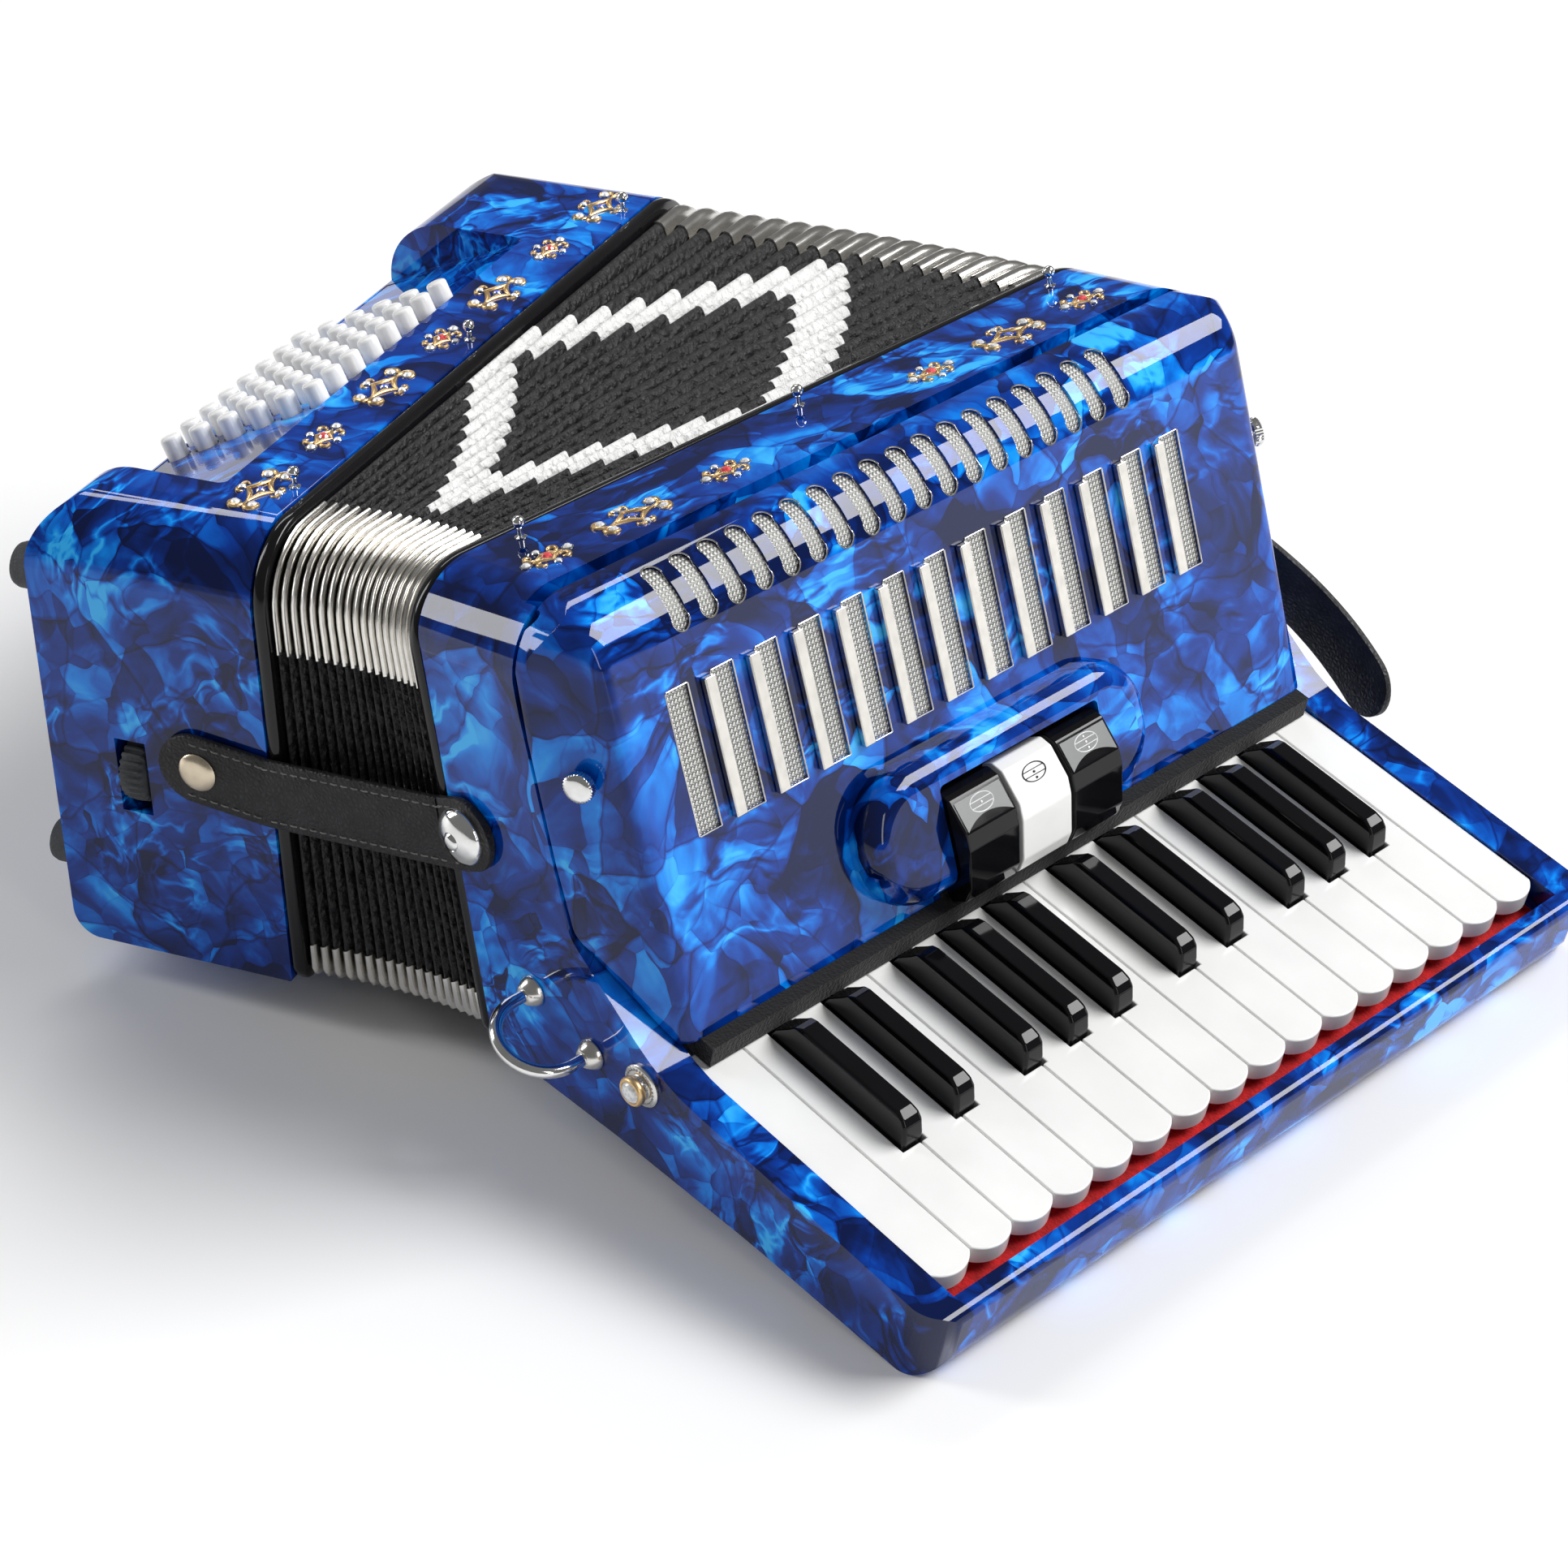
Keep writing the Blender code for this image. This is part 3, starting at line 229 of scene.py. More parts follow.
def pearl():
    """Blue pearl celluloid: creased shards that run from navy to azure, under a clear coat."""
    look = Look("blue_pearl_celluloid", (0.01, 0.08, 0.45), 0.22, 0.0,
                Coat_Weight=1.0, Coat_Roughness=0.03, Coat_IOR=1.45, Specular_IOR_Level=0.0)
    place = look.place
    for scale, reach in ((13.0, 0.055), (75.0, 0.007)):
        sway = look.vector("SUBTRACT", look.noise(scale, 1.0, output="Color"), (0.5, 0.5, 0.5))
        place = look.vector("ADD", place, look.scaled(sway, reach))
    shades = []
    for scale, weight in ((26.0, 0.46), (64.0, 0.34)):
        cell = look.cells(scale, place=place)
        inside = look.scaled(look.vector("SUBTRACT", place, cell.outputs["Position"]), scale)
        tilt = look.vector("SUBTRACT", cell.outputs["Color"], (0.5, 0.5, 0.5))
        slope = look.vector("DOT_PRODUCT", inside, tilt, output="Value")
        base = look.node("ShaderNodeSeparateColor")
        look.link(cell.outputs["Color"], base.inputs["Color"])
        fold = look.node("ShaderNodeCombineXYZ")
        look.link(look.times(slope, 5.0), fold.inputs["X"])
        look.link(look.times(base.outputs["Red"], 40.0), fold.inputs["Y"])
        crease = look.minus(look.noise(1.0, 1.0, fold.outputs["Vector"]), 0.46)
        shade = look.plus(look.times(slope, 1.7), look.times(base.outputs["Blue"], 0.46))
        shades.append(look.times(look.plus(shade, look.times(crease, 1.3)), weight))
    streak = look.noise(30.0, 6.0, place, 1.4)
    total = look.plus(look.plus(*shades), look.times(look.minus(streak, 0.40), 1.2))
    total = look.plus(total, 0.07)
    # bright slivers and dark creases that run one way, in patches
    turned = look.node("ShaderNodeMapping")
    turned.inputs["Rotation"].default_value = (0.6, 0.7, 0.8)
    turned.inputs["Scale"].default_value = (1.0, 0.36, 1.0)
    look.link(place, turned.inputs["Vector"])
    patch = look.times(look.minus(look.noise(24.0, 1.0), 0.47), 9.0, clamp=True)
    for scale, fine, gain in ((46.0, 17.0, 0.46), (38.0, 34.0, -0.40)):
        grain = look.noise(scale, 3.0, turned.outputs["Vector"], 0.6)
        ridge = look.maths("ABSOLUTE", look.minus(grain, 0.5))
        line = look.times(look.minus(1.0, look.times(ridge, fine), clamp=True), patch)
        total = look.plus(total, look.times(line, gain))
    # thin dark edges between the shards
    for scale, reach, depth in ((26.0, 40.0, 0.20), (64.0, 24.0, 0.06)):
        crack = look.cells(scale, "DISTANCE_TO_EDGE", place).outputs["Distance"]
        edge = look.minus(1.0, look.times(crack, reach), clamp=True)
        total = look.minus(total, look.times(edge, depth))
    look.colour(look.ramp(total, (
        (0.00, (0.000, 0.006, 0.055)), (0.20, (0.000, 0.016, 0.140)),
        (0.40, (0.000, 0.036, 0.290)), (0.58, (0.000, 0.110, 0.560)),
        (0.76, (0.001, 0.250, 0.860)), (1.00, (0.040, 0.480, 1.000)))))
    look.rough(look.span(streak, 0.16, 0.32))
    look.bump(look.noise(9.0, 1.0), 0.05, 0.002)
    return look.made


def plastic(name, colour, roughness, mottle=0.02, shine=0.5):
    look = Look(name, colour, roughness, 0.0, Specular_IOR_Level=shine)
    cloud = look.noise(30.0, 4.0)
    low = tuple(max(channel * (1 - mottle * 3), 0.0) for channel in colour)
    high = tuple(min(channel * (1 + mottle), 1.0) for channel in colour)
    look.colour(look.ramp(cloud, ((0.3, low), (0.7, high))))
    look.rough(look.span(look.noise(160.0, 4.0), roughness * 0.75, roughness * 1.3))
    look.bump(look.noise(45.0, 2.0), 0.04, 0.0006)
    return look.made


def metal(name, colour, roughness, grain=240.0):
    look = Look(name, colour, roughness, 1.0)
    haze = look.noise(grain, 4.0)
    dark = tuple(channel * 0.86 for channel in colour)
    look.colour(look.ramp(haze, ((0.25, dark), (0.6, colour))))
    look.rough(look.span(look.noise(70.0, 5.0), roughness * 0.6, roughness * 1.7))
    look.bump(haze, 0.03, 0.0003)
    return look.made


def woven_metal():
    """Fine herringbone metal cloth behind the grille slots."""
    look = Look("woven_metal_cloth", (0.5, 0.5, 0.48), 0.42, 0.4)
    parts = look.node("ShaderNodeSeparateXYZ")
    look.link(look.place, parts.inputs["Vector"])
    along = look.times(parts.outputs["Y"], 4100.0)
    up = look.times(look.minus(parts.outputs["Z"], parts.outputs["X"]), 2800.0)
    weft = look.maths("SINE", look.plus(along, look.times(look.maths("SINE", up), 1.4)))
    warp = look.maths("SINE", look.minus(up, look.times(look.maths("SINE", along), 0.9)))
    height = look.times(look.times(look.plus(weft, 1.0), look.plus(warp, 1.0)), 0.25)
    # colour follows the weave height: painted shade in the gaps between the wires and painted
    # highlight on their crests
    look.colour(look.ramp(height, ((0.02, (0.16, 0.16, 0.15)), (0.22, (0.58, 0.58, 0.56)),
                                   (0.8, (0.94, 0.94, 0.91)))))
    look.bump(height, 0.6, 0.0006)
    return look.made


def felt(name, colour):
    look = Look(name, colour, 0.95, 0.0, Sheen_Weight=0.12, Sheen_Roughness=0.5)
    fuzz = look.noise(900.0, 6.0)
    low = tuple(channel * 0.5 for channel in colour)
    look.colour(look.ramp(look.noise(260.0, 5.0), ((0.3, low), (0.7, colour))))
    look.bump(fuzz, 0.6, 0.0012)
    return look.made


def leather(name, colour, scale=520.0, strength=0.35, roughness=0.42):
    """Grained leather: small rounded pebbles with creases between them."""
    look = Look(name, colour, roughness, 0.0, Specular_IOR_Level=0.3)
    pebbles = look.cells(scale, "DISTANCE_TO_EDGE").outputs["Distance"]
    crease = look.times(pebbles, 2.2, clamp=True)
    height = look.plus(crease, look.times(look.noise(90.0, 5.0), 0.8))
    high = tuple(min(channel * 1.9 + 0.004, 1.0) for channel in colour)
    look.colour(look.ramp(look.noise(120.0, 5.0), ((0.3, colour), (0.75, high))))
    look.rough(look.span(crease, roughness * 1.35, roughness * 0.85))
    look.bump(height, strength, 0.0007)
    return look.made


def bellows_cloth(name, low, high):
    """Book cloth drawn over the folds: rope-like wrinkles across each fold, with painted highlight
    on the wrinkle crests and painted shade in the troughs between them.
    """
    look = Look(name, low, 0.4, 0.0, Specular_IOR_Level=0.4)
    stretch = look.vector("MULTIPLY", look.place, (110.0, 430.0, 430.0))
    wrinkle = look.node("ShaderNodeTexVoronoi", feature="SMOOTH_F1")
    wrinkle.inputs["Scale"].default_value = 1.0
    look.link(stretch, wrinkle.inputs["Vector"])
    height = look.plus(wrinkle.outputs["Distance"], look.times(look.noise(1300.0, 3.0), 0.4))
    # high is the painted highlight on the wrinkle crests, low the colour in the painted shade
    # between them
    look.colour(look.ramp(height, ((0.25, high), (0.95, low))))
    look.rough(look.span(wrinkle.outputs["Distance"], 0.32, 0.6))
    look.bump(look.minus(1.0, height), 1.0, 0.0018)
    return look.made


def wood(name, colour):
    look = Look(name, colour, 0.6)
    wave = look.node("ShaderNodeTexWave")
    wave.inputs["Scale"].default_value = 60.0
    wave.inputs["Distortion"].default_value = 5.0
    wave.inputs["Detail"].default_value = 4.0
    look.link(look.place, wave.inputs["Vector"])
    dark = tuple(channel * 0.6 for channel in colour)
    look.colour(look.ramp(wave.outputs["Fac"], ((0.1, dark), (0.9, colour))))
    look.bump(wave.outputs["Fac"], 0.2, 0.0004)
    return look.made


def gem(name, colour):
    look = Look(name, colour, 0.03, 0.0, IOR=1.75, Coat_Weight=1.0, Coat_Roughness=0.0)
    glint = look.cells(900.0).outputs["Distance"]
    bright = tuple(min(channel * 2.2 + 0.12, 1.0) for channel in colour)
    look.colour(look.ramp(glint, ((0.1, colour), (0.8, bright))))
    look.rough(look.span(glint, 0.02, 0.1))
    return look.made


PEARL = pearl()
WHITE = plastic("white_key_plastic", (0.90, 0.90, 0.885), 0.16)
BLACK = plastic("black_key_plastic", (0.004, 0.004, 0.005), 0.07, 0.1, 0.3)
BUTTON = plastic("white_button_plastic", (0.93, 0.93, 0.92), 0.14)
LACQUER = plastic("black_lacquer", (0.006, 0.006, 0.007), 0.12, 0.1, 0.35)
CHROME = metal("polished_chrome", (0.83, 0.83, 0.82), 0.09)
SATIN = metal("satin_nickel", (0.76, 0.74, 0.70), 0.18)
CHAMPAGNE = metal("champagne_brass", (0.72, 0.62, 0.47), 0.24)
BRUSHED = metal("brushed_bar_nickel", (0.68, 0.66, 0.62), 0.14)
STEEL = metal("drawn_steel", (0.50, 0.50, 0.52), 0.30)
GOLD = metal("gold_leaf", (0.86, 0.60, 0.30), 0.30)
MESH = woven_metal()
RED_FELT = felt("red_felt_cloth", (0.78, 0.012, 0.014))
BLACK_FELT = felt("black_felt_cloth", (0.003, 0.003, 0.003))
LEATHER = leather("black_strap_leather", (0.012, 0.012, 0.013))
PAD = leather("black_pad_leather", (0.014, 0.014, 0.015), 380.0, 0.5, 0.5)
# each cloth's second colour is the painted highlight on its wrinkle crests
CLOTH = bellows_cloth("black_bellows_cloth", (0.005, 0.005, 0.006), (0.034, 0.034, 0.036))
TAPE = bellows_cloth("white_bellows_tape", (0.78, 0.78, 0.77), (0.95, 0.95, 0.94))
THREAD = felt("grey_thread", (0.22, 0.22, 0.21))
RUBBER = leather("grey_rubber", (0.045, 0.047, 0.05), 900.0, 0.2, 0.6)
REED_WOOD = wood("pale_spruce", (0.55, 0.36, 0.18))
CLEAR_GEM = gem("clear_rhinestone", (0.55, 0.57, 0.60))
RED_GEM = gem("red_rhinestone", (0.55, 0.01, 0.02))
BLUE_GEM = gem("blue_rhinestone", (0.02, 0.06, 0.45))
GREY = plastic("grey_tab_inlay", (0.15, 0.155, 0.155), 0.24)
INK_LIGHT = plastic("pale_inlay", (0.85, 0.86, 0.86), 0.3)
INK_DARK = plastic("dark_inlay", (0.02, 0.02, 0.02), 0.3)

# slot names with the looks listed under each; a look not listed falls under "chrome"
SLOTS = {
    "pearl_blue": (PEARL,), "white_key": (WHITE, INK_DARK), "black_key": (BLACK, GREY, INK_LIGHT),
    "white_button": (BUTTON,), "frame_black": (LACQUER,), "metal_mesh": (MESH,),
    "black_felt": (BLACK_FELT,), "rubber": (RUBBER,), "bellows_cloth": (CLOTH, TAPE),
    "black_leather": (LEATHER, PAD, THREAD)}
# bodies that stay in the bass casing's frame, by the start of their names
BASS_BODIES = ("bass", "button_row", "air_valve", "thumb_wheel")


# ---------------------------------------------------------------- mesh helpers, all in mm


def rounded(corners, step=6.0):
    """Outline from (u, v, radius) corners, with each radius as a run of arc points."""
    outline = []
    count = len(corners)
    for index, (u, v, radius) in enumerate(corners):
        here = Vector((u, v))
        if radius <= 0:
            outline.append(here)
            continue
        before = (Vector(corners[index - 1][:2]) - here).normalized()
        after = (Vector(corners[(index + 1) % count][:2]) - here).normalized()
        half = acos(max(-1.0, min(1.0, before.dot(after)))) / 2
        centre = here + (before + after).normalized() * (radius / sin(half))
        start = here + before * radius / tan(half) - centre
        turn = start.angle_signed(here + after * radius / tan(half) - centre)
        pieces = max(1, ceil(degrees(abs(turn)) / step))
        for piece in range(pieces + 1):
            angle = -turn * piece / pieces
            c, s = cos(angle), sin(angle)
            outline.append(centre + Vector((start.x * c - start.y * s, start.x * s + start.y * c)))
    return outline


def rectangle(u0, v0, u1, v1, radius=0.0, step=10.0):
    return rounded([(u0, v0, radius), (u1, v0, radius), (u1, v1, radius), (u0, v1, radius)], step)


def disc(u, v, radius, sides=28):
    turns = [2 * pi * k / sides for k in range(sides)]
    return [Vector((u + radius * cos(t), v + radius * sin(t))) for t in turns]


def loft(rings, closed=False):
    """Solid through rings of equal point count: capped, or joined end to end."""
    mesh = bmesh.new()
    loops = [[mesh.verts.new(point) for point in ring] for ring in rings]
    pairs = list(zip(loops, loops[1:]))
    if closed:
        pairs.append((loops[-1], loops[0]))
    for low, high in pairs:
        for index in range(len(low)):
            after = (index + 1) % len(low)
            mesh.faces.new((low[index], low[after], high[after], high[index]))
    if not closed:
        mesh.faces.new(loops[0][::-1])
        mesh.faces.new(loops[-1])
    return mesh


def extrude(outline, start, end, place):
    return loft([[place(u, v, height) for u, v in outline] for height in (start, end)])


def along_y(u, v, height):
    return Vector((u, height, v))


def along_x(u, v, height):
    return Vector((height, u, v))


def box(low, high):
    return extrude(rectangle(low[0], low[2], high[0], high[2]), low[1], high[1], along_y)


def finished(mesh, name):
    """Mesh data from a bmesh, with its normals facing out."""
    bmesh.ops.recalc_face_normals(mesh, faces=mesh.faces)
    data = bpy.data.meshes.new(name)
    mesh.to_mesh(data)
    mesh.free()
    return data


def placed(name, data):
    """A new object in the scene that holds this data."""
    made = bpy.data.objects.new(name, data)
    bpy.context.collection.objects.link(made)
    return made


def join(meshes):
    whole = bmesh.new()
    for part in meshes:
        data = finished(part, "part")
        whole.from_mesh(data)
        bpy.data.meshes.remove(data)
    return whole


def circle(centre, side, other, radius, sides):
    turns = [2 * pi * k / sides for k in range(sides)]
    return [centre + (side * cos(t) + other * sin(t)) * radius for t in turns]


def lathe(profile, centre, axis, sides=28):
    """Turned shape: profile is (radius, height) from the base up along axis."""
    axis = Vector(axis).normalized()
    side = axis.orthogonal().normalized()
    other = axis.cross(side)
    return loft([circle(Vector(centre) + axis * height, side, other, max(radius, 0.02), sides)
                 for radius, height in profile])


def headings(points, closed=False):
    """Direction of travel at each point of a run."""
    count = len(points)
    for index in range(count):
        before, after = index - 1, (index + 1) % count
        if not closed:
            before, after = max(before, 0), min(index + 1, count - 1)
        yield (points[after] - points[before]).normalized()


def wire(points, radius, sides=12, closed=False):
    """Round bar through points; radius is a number, or a function of the point's number."""
    rings = []
    side = None
    for index, (point, heading) in enumerate(zip(points, headings(points, closed))):
        side = heading.orthogonal().normalized() if side is None else side
        side = (side - heading * side.dot(heading)).normalized()
        size = radius(index) if callable(radius) else radius
        rings.append(circle(point, side, heading.cross(side), size, sides))
    return loft(rings, closed)


def carve(base, steps):
    """Booleans run at once, in mm: steps are (operation, bmesh)."""
    body = placed("work", finished(base, "work"))
    tools = []
    for operation, other in steps:
        tool = placed("work", finished(other, "work"))
        cut = body.modifiers.new("cut", "BOOLEAN")
        cut.operation = operation
        cut.solver = "EXACT"
        cut.object = tool
        tools.append(tool)
    graph = bpy.context.evaluated_depsgraph_get()
    done = bmesh.new()
    done.from_object(body, graph)
    for item in [body] + tools:
        bpy.data.objects.remove(item, do_unlink=True)
    bmesh.ops.remove_doubles(done, verts=done.verts, dist=0.002)
    return done


def piece(name, mesh, look, body, replaces=(), bevel=0.0, segments=2, smooth=38.0, limit=38.0,
          blend=None):
    """Turn a bmesh in mm into a finished piece that rides on a body."""
    data = finished(mesh, name)
    data.transform(BASS if (body or "").startswith(BASS_BODIES) else TREBLE)
    data.shade_smooth()
    data.set_sharp_from_angle(angle=radians(smooth))
    data.materials.append(look)
    made = placed(name, data)
    if bevel:
        edge = made.modifiers.new("edge", "BEVEL")
        edge.width = bevel * MM
        edge.segments = segments
        edge.limit_method = "ANGLE"
        edge.angle_limit = radians(limit)
        weigh = made.modifiers.new("weigh", "WEIGHTED_NORMAL")
        weigh.keep_sharp = True
    next((slot for slot, looks in SLOTS.items() if look in looks), "chrome")
    if replaces:
        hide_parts(*replaces)
    if blend:
        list(blend)
        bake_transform(made)
    else:
        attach(made, body)
    return made


# ---------------------------------------------------------------- local places


def key_point(x, z):
    return (91.3 + x * cos(KEY_TILT) + z * sin(KEY_TILT),
            11.6 - x * sin(KEY_TILT) + z * cos(KEY_TILT))


def in_key(x, y, z):
    across, up = key_point(x, z)
    return Vector((across, y + CHEEK, up))


def on_grille(y, up_slope, out):
    return Vector((GRILLE_X - up_slope * sin(GRILLE_TILT) + out * cos(GRILLE_TILT), y,
                   GRILLE_Z + up_slope * cos(GRILLE_TILT) + out * sin(GRILLE_TILT)))


def on_board(y, down, out):
    return Vector((-28.0 - down * cos(BOARD_TILT) - out * sin(BOARD_TILT), y,
                   167.0 - down * sin(BOARD_TILT) + out * cos(BOARD_TILT)))


def end_outline(inset=0.0, step=6.0):
    back, front = max(6.0 - inset, 2.0), max(FRONT_RADIUS - inset, 2.0)
    return rounded([(inset, inset, back), (BODY_LENGTH - inset, inset, back),
                    (BODY_LENGTH - inset, BODY_DEPTH - inset, front),
                    (inset, BODY_DEPTH - inset, front)], step)


def corner_mask(low_z):
    """Block with rounded front corners, to cut a casing with."""
    skin = 0.1
    top = BODY_DEPTH + skin
    outline = rounded([(-skin, low_z, 0), (BODY_LENGTH + skin, low_z, 0),
                       (BODY_LENGTH + skin, top, FRONT_RADIUS + skin),
                       (-skin, top, FRONT_RADIUS + skin)])
    return extrude(outline, -120, 260, along_x)


def lip(mesh, width, segments):
    """Round the edges of both end faces."""
    ends = [face for face in mesh.faces if len(face.verts) > 4]
    edges = list({edge for face in ends for edge in face.edges})
    bmesh.ops.bevel(mesh, geom=edges, offset=width, segments=segments, profile=0.5,
                    affect="EDGES", clamp_overlap=True)
    return mesh


# ---------------------------------------------------------------- treble side


def casing_outline(grow=0.0):
    """Side view of the treble casing, moved outwards by grow."""
    corners = [(0, 0, 2), (60, -15.8, 60), (120, -34, 200),
               key_point(121.5, -28) + (13,), key_point(121.5, 1.0) + (4,),
               key_point(-4.0, 1.0) + (60,), (53.0, 56.0, 12), (SEAM_X, 135.0, 60),
               (SEAM_X, BODY_DEPTH, 3), (0, BODY_DEPTH, 0)]
    outline = rounded(corners, 7.0)
    if not grow:
        return outline
    moved = []
    for index, point in enumerate(outline):
        before = (point - outline[index - 1]).normalized()
        after = (outline[(index + 1) % len(outline)] - point).normalized()
        outward = Vector((before.y + after.y, -before.x - after.x))
        moved.append(point + outward * grow * 2 / max(outward.length_squared, 0.5))
    return moved


def treble_casing():
    inner = (CHEEK, BODY_LENGTH - CHEEK)
    outer = lip(extrude(casing_outline(), 0, BODY_LENGTH, along_y), 5.2, 6)
    round_front = rounded([(-300, -0.1, 0), (121.6, -0.1, 13.0), (121.6, BODY_LENGTH + 0.1, 13.0),
                           (-300, BODY_LENGTH + 0.1, 0)], 7.0)
    round_front = extrude(round_front, -80, 320,
                          lambda x, y, h: Vector((key_point(x, h)[0], y, key_point(x, h)[1])))
    well = [key_point(114, -13), key_point(114, 60), (70, 230), (42, 230), (42, 20),
            key_point(-33, -13)]
    well = extrude([Vector(point) for point in well], *inner, along_y)
    bay = box((-5, 10, 10), (36, BODY_LENGTH - 10, BODY_DEPTH - 12))
    window = box((30, 24, 24), (60, BODY_LENGTH - 24, BODY_DEPTH - 22))
    made = carve(outer, [("INTERSECT", corner_mask(-80)), ("INTERSECT", round_front),
                         ("DIFFERENCE", well),
                         ("DIFFERENCE", bay), ("DIFFERENCE", window)])
    piece("pearl_treble_casing", made, PEARL, "treble", ["treble_casing"], bevel=2.2, segments=4,
          limit=50)


def grille_front(z, inset):
    """How far out the grille's face is at height z, moved inwards by inset."""
    return GRILLE_X - (z - GRILLE_Z) * tan(GRILLE_TILT) - inset / cos(GRILLE_TILT)


def grille_rings(inset=0.0, open_back=0.0):
    """Outlines of the grille from end to end, drawn in towards both cheeks."""
    back = SEAM_X + 1.6 - open_back
    top = GRILLE_TOP - inset
    foot = GRILLE_Z - open_back
    outline = rounded([(back, foot, 0), (grille_front(foot, inset), foot, 1.0),
                       (grille_front(top, inset), top, SHOULDER - inset), (back, top, 0)], 5.0)
    stations = [(0.6, 0.10), (3.0, 0.25), (6.0, 0.46), (9.5, 0.70), (12.5, 0.885), (14.0, 0.945),
                (15.8, 0.98), (19.0, 1.0)]
    stations = [(y + inset * 1.2, share) for y, share in stations]
    stations += [(BODY_LENGTH - y, share) for y, share in reversed(stations)]
    return [[Vector((back + (u - back) * share, y, v)) for u, v in outline]
            for y, share in stations]


def pod():
    rings = []
    for inset, height in ((0, -2), (0, 3.5), (0.5, 6.2), (1.8, 8.8), (3.8, 10.8), (6.5, 11.8),
                          (9.0, 12.0)):
        outline = rectangle(93 + inset, 6 + inset, 226 - inset, 54 - inset, 22.0 - inset, 7)
        rings.append([on_grille(u, v, height) for u, v in outline])
    return loft(rings)


def on_oval(index):
    """Places round the middle of one oval slot, on the grille's shoulder."""
    centre = Vector((OVAL_X, OVAL_FIRST + index * OVAL_PITCH, OVAL_Z))
    return lambda u, v, out: centre + Vector((0, u, 0)) + OVAL_UP * v + OVAL_OUT * out


def slot_cuts():
    meshes = []
    for index in range(BAR_SLOTS):
        y = BAR_FIRST + index * BAR_PITCH
        meshes.append(extrude(rectangle(y, SLOT_LOW, y + SLOT_WIDTH, SLOT_HIGH), -8, 6, on_grille))
    for index in range(OVAL_SLOTS):
        outline = rectangle(-3.4, -11.6, 3.4, 11.6, 3.35, 20)
        meshes.append(extrude(outline, -14, 12, on_oval(index)))
    return meshes


def treble_grille():
    cheeks = [extrude(casing_outline(SEAM_GAP), start, end, along_y) for start, end in
              ((-1, CHEEK + SEAM_GAP), (BODY_LENGTH - CHEEK - SEAM_GAP, BODY_LENGTH + 1))]
    recess = rectangle(REGISTER_Y - RECESS_HALF, -4, REGISTER_Y + RECESS_HALF, 43.5, 2.0)
    made = carve(loft(grille_rings()),
                 [("DIFFERENCE", loft(grille_rings(3.0, 6.0))), ("UNION", pod()),
                  ("DIFFERENCE", join(cheeks)), ("INTERSECT", corner_mask(-80)),
                  ("DIFFERENCE", join(slot_cuts())),
                  ("DIFFERENCE", extrude(recess, 0.1, 30, on_grille))])
    piece("pearl_grille", made, PEARL, "treble", ["treble_grille"], bevel=0.45, segments=2,
          limit=48)
    half = RECESS_HALF - 0.3
    lining = rectangle(REGISTER_Y - half, -3.0, REGISTER_Y + half, 43.2, 1.8)
    lining = extrude(lining, 0.12, 0.42, on_grille)
    piece("register_recess_lining", lining, BLACK_FELT, "treble")


def grille_line(inset):
    """Side view of the grille's front and rounded shoulder, moved inwards."""
    top = GRILLE_TOP - inset
    return rounded([(grille_front(80.0, inset), 80.0, 0),
                    (grille_front(top, inset), top, SHOULDER - inset), (54.0, top, 0)], 4.0)


def grille_cloth():
    """Woven metal cloth stretched close behind the slots."""
    band = grille_line(1.1) + grille_line(2.0)[::-1]
    piece("grille_metal_cloth", extrude(band, 30, BODY_LENGTH - 30, along_y), MESH, "treble",
          ["grille_mesh"], smooth=60)


def slot_rims():
    """Bright edges of the slots, laid on the curved front."""
    skin = loft(grille_rings())
    tree = BVHTree.FromBMesh(skin)
    skin.free()
    meshes = []
    for index in range(OVAL_SLOTS):
        start = on_oval(index)(0, 0, 30)
        line = [tree.ray_cast(start + Vector((0, u, 0)) + OVAL_UP * v, -OVAL_OUT)[0]
                for u, v in rectangle(-3.5, -11.7, 3.5, 11.7, 3.45, 15)]
        meshes.append(wire(line, 0.28, 6, True))
    for index in range(BAR_SLOTS):
        y = BAR_FIRST + index * BAR_PITCH
        edge = rectangle(y - 0.1, SLOT_LOW - 0.1, y + SLOT_WIDTH + 0.1, SLOT_HIGH + 0.1, 0.5, 30)
        line = [on_grille(u, v, 0.0) for u, v in edge]
        meshes.append(wire(line, 0.32, 6, True))
    piece("grille_slot_rims", join(meshes), SATIN, "treble", smooth=60)


def bars():
    made = []
    for index in range(1, BAR_SLOTS):
        end = BAR_FIRST + index * BAR_PITCH - 0.1
        bar = rectangle(end - 4.6, SLOT_LOW + 0.6, end, SLOT_HIGH - 0.6)
        made.append(extrude(bar, 0.25, 2.8, on_grille))
    piece("chrome_grille_bars", join(made), BRUSHED, "treble", ["grille_bars"], bevel=0.45,
          segments=3)


